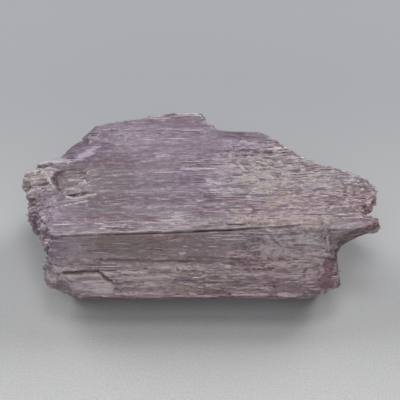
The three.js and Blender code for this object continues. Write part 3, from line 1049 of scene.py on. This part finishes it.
@dataclass
class Spindles:
    """Many closed spindles in one mesh, each made of rings of points along its path, between two tips."""

    path: Array  # the middle of each ring, mm, shaped (n, rings, 3); the first and last are the tips
    width: Array  # the greatest half width of each spindle, mm
    height: Array  # the greatest half height of each, mm
    swell: Array  # size of each ring against those, shaped (rings,) or (n, rings)
    lean: Array  # turn of each spindle's width about X from Y, radians
    around: int = 6  # points on each ring

    def points(self) -> Array:
        """Works out each ring's points: an ellipse around its middle, its width turned about X by the lean.

        Returns:
            Points, mm, shaped (n, points, 3), the two tips last.
        """
        turn = np.linspace(0.0, 2.0 * np.pi, self.around, endpoint=False)
        wide = (self.width[:, None] * self.swell)[:, 1:-1, None] * np.cos(turn)
        high = (self.height[:, None] * self.swell)[:, 1:-1, None] * np.sin(turn)
        cos, sin = np.cos(self.lean)[:, None, None], np.sin(self.lean)[:, None, None]
        offset = np.stack([np.zeros_like(wide), wide * cos - high * sin, wide * sin + high * cos], axis=-1)
        rings = (self.path[:, 1:-1, None] + offset).reshape(len(self.path), -1, 3)
        return np.concatenate([rings, self.path[:, :1], self.path[:, -1:]], axis=1)

    def faces(self) -> tuple[Array, Array]:
        """Joins the points of one spindle, and lays its skin flat on the unit square.

        Returns:
            Outward triangles, and a place on the square for each of their corners, shaped (m, 3, 2).
        """
        rings, around = self.path.shape[1] - 2, self.around
        row, column = (a.ravel() for a in np.meshgrid(np.arange(rings - 1), np.arange(around), indexing="ij"))
        a, b, c, d = (row, column), (row, column + 1), (row + 1, column + 1), (row + 1, column)
        here = np.arange(around)
        first, last = np.zeros(around, int), np.full(around, rings - 1)
        corners = [
            np.concatenate([np.array([a, b, c]), np.array([a, c, d])], axis=2),
            np.array([(first - 1, here), (first, here + 1), (first, here)]),
            np.array([(last + 1, here), (last, here), (last, here + 1)]),
        ]
        ring, step = np.concatenate(corners, axis=2).transpose(1, 2, 0)
        index = ring * around + step % around
        tip = rings * around
        index = np.where(ring < 0, tip, np.where(ring >= rings, tip + 1, index))
        return index, np.stack([ring + 1, step], axis=-1) / (rings + 1, around)

    def build(self, name: str, tone: Array | None = None) -> bpy.types.Object:
        """Makes the object, each spindle with its own square of the flat map.

        Args:
            name: the object's name.
            tone: a number for each spindle, kept as the attribute "tone".

        Returns:
            The object.
        """
        points = self.points()
        index, flat = self.faces()
        count, size = points.shape[:2]
        faces = (index[None] + (np.arange(count) * size)[:, None, None]).reshape(-1, 3)
        side = int(np.ceil(np.sqrt(count)))
        square = np.stack(np.divmod(np.arange(count), side), axis=1)[:, None, None]
        spread = ((square + 0.06 + 0.88 * flat[None]) / side).reshape(-1, 2)
        values = {} if tone is None else {"tone": np.repeat(tone, size)}
        return skin(name, points.reshape(-1, 3), faces, spread, values)


@dataclass
class SurfaceSplinters:
    """Splinters that have partly lifted from the upper side: straight slivers along the fibres, sunk into the
    crystal by half, most of them where its growth lines are sharp."""

    body: CrystalBody
    tried: int = 6000  # how many places are tried; the fibrous ones are kept
    seed: int = 31
    lengths: Pair = (0.7, 4.2)  # shortest and longest half length, mm
    widths: Pair = (0.06, 0.19)  # narrowest and widest half width, mm
    sink: float = 0.05  # how far their middle line lies under the smooth form, mm
    clearance: float = 0.9  # how far they keep from the cracks, mm

    def kept(self, points: Array, chance: Array) -> Array:
        """Tells which tried places on the upper side get a splinter: fibrous ones, away from scars, chips and
        cracks.

        Args:
            points: the places, mm.
            chance: a share drawn for each.

        Returns:
            A truth value for each.
        """
        kept = chance < 0.02 + 0.7 * self.body.covers(points, np.ones(len(points)))[Coat.FIBROUS]
        for scar in self.body.scars:
            kept &= scar.spread(points)[2] > 1.1
        for chip in self.body.chips:
            kept &= chip.above(points)[1] < 0.5
        stray = Crack.stray(points)
        for crack in self.body.cracks:
            kept &= Crack(crack.route, self.clearance, crack.depth).near(points, stray) < 0.4
        return kept

    def build(self) -> bpy.types.Object:
        """Lays the splinters on the upper side, each straight along X at one Y, a little under the surface
        and leaning with its slope. Half lengths and half widths are low (high / low)^chance.

        Returns:
            The splinters as one object.
        """
        chance = np.random.default_rng(self.seed)
        form, stations = self.body.form, self.body.stations()
        y = np.interp(chance.random(self.tried), np.linspace(0.0, 1.0, len(stations)), stations)
        middle = form.place(chance.uniform(0.02, 0.98, self.tried), y, np.ones(self.tried))
        kept = self.kept(middle, chance.random(self.tried))
        y, middle, count = y[kept], middle[kept], int(kept.sum())
        half, width = (
            low * (high / low) ** chance.random(count) for low, high in (self.lengths, self.widths)
        )
        run = np.array([-1.0, -0.97, -0.6, -0.1, 0.4, 0.85, 1.0])
        swell = np.array([0.0, 0.55, 0.9, 1.0, 0.95, 0.6, 0.0])
        left, right = (end[:, None] for end in form.span(y, np.ones(count)))
        x = np.clip(middle[:, :1] + half[:, None] * run, left + 0.3, right - 0.3)
        share = ((x - left) / (right - left)).ravel()
        across, top = np.repeat(y, len(run)), np.ones(len(share))
        path, beyond = (
            form.place(share, np.minimum(across + aside, form.back_y), top).reshape(count, -1, 3)
            for aside in (0.0, 0.2)
        )
        slope = (beyond - path)[:, 3]
        path[..., 2] -= self.sink
        lean = np.arctan2(slope[:, 2], slope[:, 1])
        height = width * chance.uniform(0.45, 0.9, count)
        spindles = Spindles(path, width, height, swell, lean, around=4)
        return spindles.build("surface_splinters", chance.random(count))


@dataclass
class EndSplinters:
    """Broken fibres that jut from both ends of the crystal, each a blunt or pointed sliver along X."""

    body: CrystalBody
    count: int = 420  # how many are tried; the chips have none
    seed: int = 47
    lengths: Pair = (2.5, 6.0)  # shortest and longest, mm
    widths: Pair = (0.2, 0.55)  # narrowest and widest half width, mm
    reach: float = 0.8  # how far the longest juts out, mm
    rooted: float = 0.3  # how far their middle line lies under the smooth form, mm

    def build(self) -> bpy.types.Object:
        """Sets the splinters into the ends. Each has its tip 0.15 mm and reach chance^2.2 more outside a
        place on an end, and runs straight back into the stone.

        Returns:
            The splinters as one object.
        """
        chance = np.random.default_rng(self.seed)
        form = self.body.form
        y = chance.uniform(form.front_y + 0.6, form.back_y - 0.6, self.count)
        level = chance.uniform(0.12, 0.99, self.count) ** 0.7
        outward = np.where(chance.random(self.count) < 0.55, 1.0, -1.0)
        root = form.place((outward > 0).astype(float), y, level)
        root[:, 0] += outward * (0.15 + self.reach * chance.random(self.count) ** 2.2)
        width = chance.uniform(*self.widths, self.count)
        length = chance.uniform(*self.lengths, self.count)
        run = np.array([0.0, 0.03, 0.3, 0.7, 0.94, 1.0])
        swell = np.array([0.0, 0.5, 1.0, 1.0, 0.6, 0.0])
        path = np.repeat(root[:, None], len(run), axis=1)
        path[..., 0] += outward[:, None] * length[:, None] * (run - 1.0)
        path[..., 0] = np.clip(path[..., 0], -form.tip_x, form.tip_x)
        path[..., 2] -= self.rooted
        path = np.where(outward[:, None, None] < 0, path[:, ::-1], path)
        swell = np.where(outward[:, None] < 0, swell[::-1], swell)
        height = width * chance.uniform(0.5, 0.9, self.count)
        lean = chance.uniform(-0.8, 0.8, self.count)
        tone = chance.random(self.count)
        kept = np.all([chip.away(root) > chip.reach for chip in self.body.chips], axis=0)
        spindles = Spindles(*(a[kept] for a in (path, width, height, swell, lean)))
        return spindles.build("end_splinters", tone[kept])


@dataclass
class CleavageVeils:
    """Healed cleavages sealed in the crystal: thin silky lenses on the two prism cleavages.

    Spodumene splits along two planes that both hold the fibre axis and stand about 43 degrees either side of
    the table's normal, so the veils lean that way about X.
    """

    form: CrystalForm
    count: int = 84  # how many are tried; those that would reach the surface are left out
    seed: int = 20
    x_range: Pair = (-26.0, 24.0)  # X between which their middles lie, mm
    y_range: Pair = (-12.0, 15.0)  # the same for Y
    lowest: float = 7.0  # height of the lowest, mm
    lengths: Pair = (3.0, 11.0)  # shortest and longest half length, mm
    widths: Pair = (0.7, 2.4)  # narrowest and widest half width, mm
    lean: float = np.radians(43.0)  # angle of the cleavages from the table
    margin: float = 1.6  # how much stone stays around them, mm
    thickness: float = 0.03  # half the thickness of each, mm

    def build(self) -> bpy.types.Object:
        """Makes every veil as a flat closed lens: at t from -1 to 1 along it, its width is sqrt(1 - t^2) of
        the greatest.

        Returns:
            The veils as one object.
        """
        chance = np.random.default_rng(self.seed)
        run = np.cos(np.linspace(np.pi, 0.0, 9))
        half = chance.uniform(*self.lengths, self.count)
        width = chance.uniform(*self.widths, self.count)
        lean = np.where(chance.random(self.count) < 0.5, self.lean, -self.lean)
        top = self.form.table_z - self.margin
        height = np.minimum(chance.uniform(self.lowest, top, self.count), top - width)
        x, y = (chance.uniform(*limits, self.count) for limits in (self.x_range, self.y_range))
        path = np.repeat(np.stack([x, y, height], axis=1)[:, None], len(run), axis=1)
        path[..., 0] += half[:, None] * run
        inside = np.ones(self.count, bool)
        for level, aside in itertools.product((0.3, 0.7, 1.0), (-1.0, 1.0)):
            left, right = (self.form.fibre_end(end, y + aside * width, level) for end in End)
            inside &= (path[:, 0, 0] - self.margin > left) & (path[:, -1, 0] + self.margin < right)
        thin = np.full(self.count, self.thickness)
        path, width, thin, lean = (a[inside] for a in (path, width, thin, lean))
        spindles = Spindles(path, width, thin, np.sqrt(1.0 - run**2), lean, around=16)
        return spindles.build("cleavage_veils")


# Finishes

SMOOTHED = {"interpolation_type": "SMOOTHSTEP"}


class Shading:
    """The nodes of one material."""

    def __init__(self, name: str) -> None:
        """Makes the material, with no nodes yet.

        Args:
            name: the material's name, which says what the real one is.
        """
        self.material = bpy.data.materials.new(name)
        self.material.use_nodes = True
        self.material.node_tree.nodes.clear()

    def add_node(self, kind: str, settings: dict[str | int, object]) -> Node:
        """Adds one node with its settings and links.

        Args:
            kind: the node's type, without "ShaderNode".
            settings: a value for each property by its name, or for each input by its name or number. An
                output is linked to its input, and a node stands for its first output in use.

        Returns:
            The node.
        """
        tree = self.material.node_tree
        node = tree.nodes.new("ShaderNode" + kind)
        for name, value in settings.items():
            if isinstance(value, Node):
                value = next(output for output in value.outputs if output.enabled)
            if isinstance(value, bpy.types.NodeSocket):
                tree.links.new(value, node.inputs[name])
            elif isinstance(name, str) and hasattr(node, name):
                setattr(node, name, value)
            else:
                node.inputs[name].default_value = value
        return node

    def layer(
        self, below: str | Node, tint: str | Node, share: Node | bpy.types.NodeSocket, strength: float = 1.0,
        span: Pair | None = None, mask: Node | float = 1.0, blend: str = "MIX",
    ) -> Node:
        """Lays one colour over another.

        Args:
            below: the colour below, as sRGB hex or a node.
            tint: the colour above, as sRGB hex or a node.
            share: what tells where it lies.
            strength: the most that it covers.
            span: the values of share from which it starts to show and at which it shows fully.
            mask: what the cover is multiplied by.
            blend: how the two mix.

        Returns:
            The colour's node.
        """
        if span is not None:
            low, high = span
            share = self.add_node("MapRange", {0: share, "From Min": low, "From Max": high, **SMOOTHED})
        for factor in (strength, mask):
            if factor != 1.0:
                share = self.add_node("Math", {"operation": "MULTIPLY", 0: share, 1: factor})
        first, second = (linear(colour) if isinstance(colour, str) else colour for colour in (below, tint))
        return self.add_node("Mix", {"data_type": "RGBA", "blend_type": blend, 0: share, 6: first, 7: second})

    def done(self, surface: Node, volume: Node | None = None) -> bpy.types.Material:
        """Puts the shaders to use.

        Args:
            surface: the shader of the surface.
            volume: the shader of what is inside, where that is seen.

        Returns:
            The material.
        """
        shaders = {"Surface": surface} if volume is None else {"Surface": surface, "Volume": volume}
        self.add_node("OutputMaterial", shaders)
        return self.material


@dataclass(frozen=True)
class Pattern:
    """A pattern that is fixed in the stone and stretched along its fibres; run and width are in mm."""

    run: float
    width: float

    def drawn(self, shading: Shading, kind: str, **settings: float) -> Node:
        """Adds the pattern to a material, on the object's own coordinates.

        Args:
            shading: the material's nodes.
            kind: the node's type: "TexNoise" for soft clouds, or "TexVoronoi" for crisp cells.
            settings: further settings of the node.

        Returns:
            The texture's node.
        """
        scale = [1.0 / (size * MM) for size in (self.run, self.width, self.width)]
        place = shading.add_node("TexCoord", {}).outputs["Object"]
        mapped = shading.add_node("Mapping", {"Scale": scale, "Vector": place})
        return shading.add_node(kind, {"Scale": 1.0, "Vector": mapped, **settings})


@dataclass(frozen=True)
class KunziteFinish:
    """Kunzite, natural crystal faces: grown with striae along its length, then etched and bruised.

    Clean stone is see-through lilac with a glassy shine along the striae. White bruises and clay scatter the
    light and hide what is below. Hex colours are sRGB.
    """

    lilac: str = "9B87A0"  # the stone's own two colours, which drift into each other
    rose: str = "A18A95"
    pale: str = "BBACB6"  # hazy stone, and growth lines that catch the light
    shade: str = "7C6877"  # growth lines that hold less haze
    deep: str = "7A5864"  # the stone's full colour, and painted shade in hollows, scars and the undercut of the right end
    clear: str = "786F75"  # windows into the stone
    milk: str = "F0E9EB"  # bruises and opened cleavages
    clay: str = "C6B9B1"
    gap: str = "594650"  # the dark between splinters and between crumbs
    fresh: str = "8E7880"  # clean breaks, dull and shining
    sheen: str = "B09FA5"
    iron: str = "5A432E"  # rust in the cracks, and painted shade in the undercut of the right end
    rosy: str = "FFECEC"  # tints that multiply what is below
    violet: str = "F7F0FF"
    absorbed: str = "CFA4C6"  # what is left of white light in the stone
    density: float = 32.0  # how strongly it takes the light up, per metre
    ior: float = 1.667  # spodumene's
    transmission: float = 0.5  # half clear: the rest is scattered by haze and cleavages
    bump_height: float = 0.1  # mm
    # Soft clouds: growth bands, haze and mottling.
    bands: Pattern = Pattern(26.0, 2.4)
    haze: Pattern = Pattern(7.0, 4.0)
    mottle: Pattern = Pattern(1.7, 1.3)
    # Crisp cells: laths and rods as wide as the real ones. The real fibres and clay grains are finer than a
    # tenth of a millimetre, so slivers and crumbs are as coarse as they need to be to show.
    laths: Pattern = Pattern(8.0, 1.9)
    rods: Pattern = Pattern(4.2, 0.58)
    slivers: Pattern = Pattern(1.5, 0.29)
    crumbs: Pattern = Pattern(0.6, 0.45)

    def build(self) -> bpy.types.Material:
        """Builds the shader: layers of colour from the stone outwards, a roughness and a fine relief.

        Returns:
            The material.
        """
        stone = Shading("kunzite, striated and etched crystal face")
        add, layer = stone.add_node, stone.layer
        coat = {c: add("Attribute", {"attribute_name": c.value}).outputs["Fac"] for c in Coat}
        soft, crisp = (self.bands, self.haze, self.mottle), (self.laths, self.rods, self.slivers, self.crumbs)
        bands, haze, mottle = (pattern.drawn(stone, "TexNoise", Detail=3.0) for pattern in soft)
        cells = [pattern.drawn(stone, "TexVoronoi") for pattern in crisp]
        lath, rod, sliver, crumb = (add("SeparateColor", {0: cell.outputs[1]}).outputs for cell in cells)
        sharp = add("Math", {"operation": "MULTIPLY_ADD", 0: coat[Coat.FIBROUS], 1: 0.8, 2: 0.2})
        colour = self.rose
        # Each row: the colour, what tells where it lies, the most that it covers, its span and its mask.
        for tint, share, strength, span, mask in (
            (self.lilac, haze, 1.0, (0.35, 0.65), 1.0),
            (self.shade, bands, 1.0, (0.68, 0.32), 1.0),
            (self.pale, haze, 0.5, (0.4, 0.75), 1.0),
            (self.pale, mottle, 0.5, (0.5, 0.66), 1.0),
            (self.shade, mottle, 0.5, (0.5, 0.34), 1.0),
            (self.pale, lath[0], 0.35, (0.5, 0.9), 1.0),
            (self.shade, lath[1], 0.35, (0.5, 0.9), 1.0),
            (self.pale, coat[Coat.HAZE], 0.6, None, 1.0),
            (self.clear, coat[Coat.CLEAR], 1.0, None, 1.0),
            # Deep colour, which is also painted shade in hollows, scars and the undercut of the right end.
            (self.deep, coat[Coat.DEEP_AND_SHADE], 1.0, None, 1.0),
            (self.pale, rod[0], 0.4, (0.5, 1.0), sharp),
            (self.shade, rod[1], 0.4, (0.7, 1.0), sharp),
            (self.milk, sliver[0], 0.7, (0.76, 0.9), sharp),
            (self.gap, sliver[1], 0.85, (0.8, 0.92), sharp),
        ):
            colour = layer(colour, tint, share, strength, span, mask)
        covers = {}
        # Bruises break up into slivers and clay into crumbs: each shows where its coat is above the grain.
        for kind, tint, grain, weight, soft in (
            (Coat.MILK, self.milk, sliver[2], 0.55, 0.12), (Coat.CLAY, self.clay, crumb[0], 0.5, 0.1),
        ):
            level = add("Math", {"operation": "MULTIPLY", 0: rod[2], 1: 1.0 - weight})
            level = add("Math", {"operation": "MULTIPLY_ADD", 0: grain, 1: weight, 2: level})
            above = add("Math", {"operation": "SUBTRACT", 0: coat[kind], 1: level})
            covers[kind] = add("MapRange", {0: above, "From Min": -soft, "From Max": soft, **SMOOTHED})
            colour = layer(colour, tint, covers[kind], 0.8)
        coarse = add("Math", {"operation": "MAXIMUM", 0: covers[Coat.CLAY], 1: coat[Coat.ETCHED]})
        bared = add("Math", {"operation": "SUBTRACT", 0: 1.0, 1: covers[Coat.MILK]})
        fresh = add("Math", {"operation": "MULTIPLY", 0: coat[Coat.FRESH], 1: bared})
        clean = add("Math", {"operation": "MULTIPLY_ADD", 0: crumb[1], 1: -0.3, 2: 1.0})
        broken = layer(self.fresh, self.sheen, mottle, 1.0, (0.35, 0.65))
        for tint, share, strength, span, mask, blend in (
            (self.gap, crumb[1], 0.5, (0.75, 0.95), coarse, "MIX"),
            (self.shade, crumb[2], 0.3, None, 1.0, "MIX"),
            (self.milk, crumb[0], 0.25, (0.8, 1.0), 1.0, "MIX"),
            (self.milk, crumb[2], 0.45, (0.78, 0.92), coarse, "MIX"),
            (broken, fresh, 0.85, None, clean, "MIX"),
            (self.rosy, coat[Coat.ROSY], 1.0, None, 1.0, "MULTIPLY"),
            (self.violet, coat[Coat.VIOLET], 1.0, None, 1.0, "MULTIPLY"),
            # Iron brown, which is also painted shade in the undercut of the right end.
            (self.iron, coat[Coat.STAIN_AND_SHADE], 1.0, None, 1.0, "MIX"),
        ):
            colour = layer(colour, tint, share, strength, span, mask, blend)
        rough = add("Math", {"operation": "MULTIPLY_ADD", 0: coarse, 1: 0.45, 2: 0.3})
        polish = add("Math", {"operation": "MULTIPLY_ADD", 0: fresh, 1: -0.45, 2: 1.0})
        rough = add("Math", {"operation": "MULTIPLY", 0: rough, 1: polish})
        grainy = add("Math", {"operation": "MULTIPLY_ADD", 0: coarse, 1: -0.7, 2: -0.2})
        height = 0.0
        for source, weight in ((cells[1], -0.9), (cells[2], -0.5), (rod[1], -0.5), (cells[3], grainy)):
            height = add("Math", {"operation": "MULTIPLY_ADD", 0: source, 1: weight, 2: height})
        strength = add("Math", {"operation": "MULTIPLY_ADD", 0: fresh, 1: -0.35, 2: 1.0})
        bump = add("Bump", {"Distance": self.bump_height * MM, "Strength": strength, "Height": height})
        surface = add("BsdfPrincipled", {
            "IOR": self.ior, "Transmission Weight": self.transmission,
            "Base Color": colour, "Roughness": rough, "Normal": bump,
        })
        inside = add("VolumeAbsorption", {"Color": linear(self.absorbed), "Density": self.density})
        return stone.done(surface, inside)


@dataclass(frozen=True)
class SplinterFinish:
    """Kunzite splinters: thin lifted fibres, from clear lilac to bruised white, with a soft silky shine.

    The attribute "tone" tells each splinter's place between the colours.
    """

    dark: str = "6F5B65"  # from here to white, the colours that tone picks from
    lilac: str = "998393"
    pale: str = "B09EAA"
    clay: str = "B9ABA6"
    white: str = "D3C8CA"
    wear: Pattern = Pattern(1.6, 0.5)
    roughness: float = 0.36
    ior: float = 1.667

    def build(self) -> bpy.types.Material:
        """Builds the shader.

        Returns:
            The material.
        """
        sliver = Shading("kunzite, lifted splinters")
        tone = sliver.add_node("Attribute", {"attribute_name": "tone"}).outputs["Fac"]
        worn = self.wear.drawn(sliver, "TexNoise", Detail=3.0)
        colour = self.dark
        for tint, share, strength, span in (
            (self.lilac, tone, 1.0, (0.12, 0.3)),
            (self.pale, tone, 1.0, (0.4, 0.6)),
            (self.clay, tone, 1.0, (0.7, 0.78)),
            (self.white, tone, 1.0, (0.86, 0.95)),
            (self.lilac, worn, 0.35, (0.35, 0.65)),
        ):
            colour = sliver.layer(colour, tint, share, strength, span)
        settings = {"Roughness": self.roughness, "IOR": self.ior, "Base Color": colour}
        return sliver.done(sliver.add_node("BsdfPrincipled", settings))


@dataclass(frozen=True)
class VeilFinish:
    """Healed cleavage in kunzite: silky white films of tiny fluid pockets, soft and pale inside the stone."""

    silk: str = "DCD2DB"
    shadow: str = "B9A9BA"
    streaks: Pattern = Pattern(3.0, 0.6)
    roughness: float = 0.45
    ior: float = 1.5

    def build(self) -> bpy.types.Material:
        """Builds the shader, mottled along the fibres.

        Returns:
            The material.
        """
        film = Shading("kunzite, healed cleavage veil")
        colour = film.layer(self.shadow, self.silk, self.streaks.drawn(film, "TexNoise", Detail=3.0))
        settings = {"Roughness": self.roughness, "IOR": self.ior, "Base Color": colour}
        return film.done(film.add_node("BsdfPrincipled", settings))


@dataclass(frozen=True)
class CardFinish:
    """Matt card: a plain pale grey with painted shade that darkens it towards the back, and a fine grain in
    front.
    """

    front: str = "B9B9B9"
    # Painted shade: the grey that the card darkens to at the back.
    back: str = "8F9194"
    speck: str = "707174"
    painted_shade_span: Pair = (-0.09, 0.06)  # Y where the painted shade starts to darken the card and where it stops, m
    grainy: Pair = (0.02, -0.05)  # Y where its grain starts to show, and shows fully, m
    grain: Pattern = Pattern(0.45, 0.45)
    roughness: float = 0.8

    def build(self) -> bpy.types.Material:
        """Builds the shader.

        Returns:
            The material.
        """
        card = Shading("matt card")
        place = card.add_node("TexCoord", {}).outputs["Object"]
        depth = card.add_node("SeparateXYZ", {0: place}).outputs[1]
        far, close = self.grainy
        near = card.add_node("MapRange", {0: depth, "From Min": far, "From Max": close, **SMOOTHED})
        near = card.add_node("Math", {"operation": "MULTIPLY_ADD", 0: near, 1: 0.2, 2: 0.02})
        grain = self.grain.drawn(card, "TexNoise", Detail=1.0)
        # Painted shade: the card darker towards the back.
        colour = card.layer(self.front, self.back, depth, 1.0, self.painted_shade_span)
        colour = card.layer(colour, self.speck, grain, 1.0, (0.3, 0.7), near)
        return card.done(card.add_node("BsdfPrincipled", {"Roughness": self.roughness, "Base Color": colour}))


# Studio


@dataclass(frozen=True)
class Softbox:
    """A square soft light that faces the crystal; place and size are in metres, power in watts."""

    name: str
    place: Triple
    size: float
    power: float


@dataclass
class Studio:
    """A plain pale floor, soft light from above and behind, and the camera."""

    aim: Triple = (0.0, 2.0, 12.2)  # where the camera points, mm
    distance: float = 420.0  # from the camera to that point, mm
    elevation: float = 50.0  # height of the camera over the floor, as an angle in degrees
    lens: float = 150.0  # focal length, mm
    sensor: float = 36.0  # width of the picture behind the lens, mm
    floor_size: float = 4.0  # side of the floor, m
    floor_drop: float = 0.00005  # how far it lies under the crystal, m
    room_light: float = 0.075  # strength of the even light from all round
    softboxes: tuple[Softbox, ...] = (
        Softbox("overhead light", (0.03, 0.10, 0.80), 0.3, 1.75),
        Softbox("back left light", (-0.6, 0.6, 0.6), 0.5, 5.65),
        Softbox("back right light", (0.6, 0.6, 0.6), 0.5, 7.2),
        Softbox("left light", (-0.8, 0.3, 0.4), 0.5, 1.7),
        Softbox("upper front light", (0.0, -0.45, 0.75), 0.6, 2.5),
        Softbox("lower front light", (0.0, -0.95, 0.25), 0.5, 1.75),
    )

    def camera(self) -> None:
        """Makes the camera, looking along +Y and down at the crystal."""
        data = bpy.data.cameras.new("camera")
        data.lens = self.lens
        data.sensor_width = self.sensor
        data.clip_start = 0.01
        made = new_object("camera", data)
        angle = np.radians(self.elevation)
        back = Vector((0, -np.cos(angle), np.sin(angle)))
        made.location = Vector(self.aim) * MM + back * self.distance * MM
        made.rotation_euler = (np.radians(90.0 - self.elevation), 0.0, 0.0)
        bpy.context.scene.camera = made

    def floor(self) -> None:
        """Makes the floor, a square of matt card just under the crystal."""
        half, low = self.floor_size / 2.0, -self.floor_drop
        mesh = bpy.data.meshes.new("floor")
        corners = [(-half, -half, low), (half, -half, low), (half, half, low), (-half, half, low)]
        mesh.from_pydata(corners, [], [(0, 1, 2, 3)])
        mesh.materials.append(CardFinish().build())
        new_object("floor", mesh)

    def lights(self) -> None:
        """Makes the soft lights above, behind, beside and in front of the crystal, and the dim room."""
        for box in self.softboxes:
            data = bpy.data.lights.new(box.name, "AREA")
            data.energy = box.power
            data.size = box.size
            towards = Vector(self.aim) * MM - Vector(box.place)
            turn = towards.to_track_quat("-Z", "Y").to_matrix().to_4x4()
            new_object(box.name, data).matrix_world = Matrix.Translation(box.place) @ turn
        world = bpy.data.worlds.new("room")
        world.use_nodes = True
        world.node_tree.nodes["Background"].inputs["Color"].default_value = (1.0, 1.0, 1.0, 1.0)
        world.node_tree.nodes["Background"].inputs["Strength"].default_value = self.room_light
        bpy.context.scene.world = world

    def build(self) -> None:
        """Makes the camera, the floor and the lights, with plain colour handling."""
        self.camera()
        self.floor()
        self.lights()
        bpy.context.scene.view_settings.view_transform = "Standard"


def main() -> None:
    """Builds the studio and the crystal, and reports each piece."""
    logging.basicConfig(level=logging.INFO, format="%(name)s: %(message)s")
    Studio().build()
    form = CrystalForm()
    body = CrystalBody(form)
    dress(body.build(), KunziteFinish().build())
    splinter_skin = SplinterFinish().build()
    dress(SurfaceSplinters(body).build(), splinter_skin)
    dress(EndSplinters(body).build(), splinter_skin)
    dress(CleavageVeils(form).build(), VeilFinish().build())


if __name__ == "__main__":
    main()
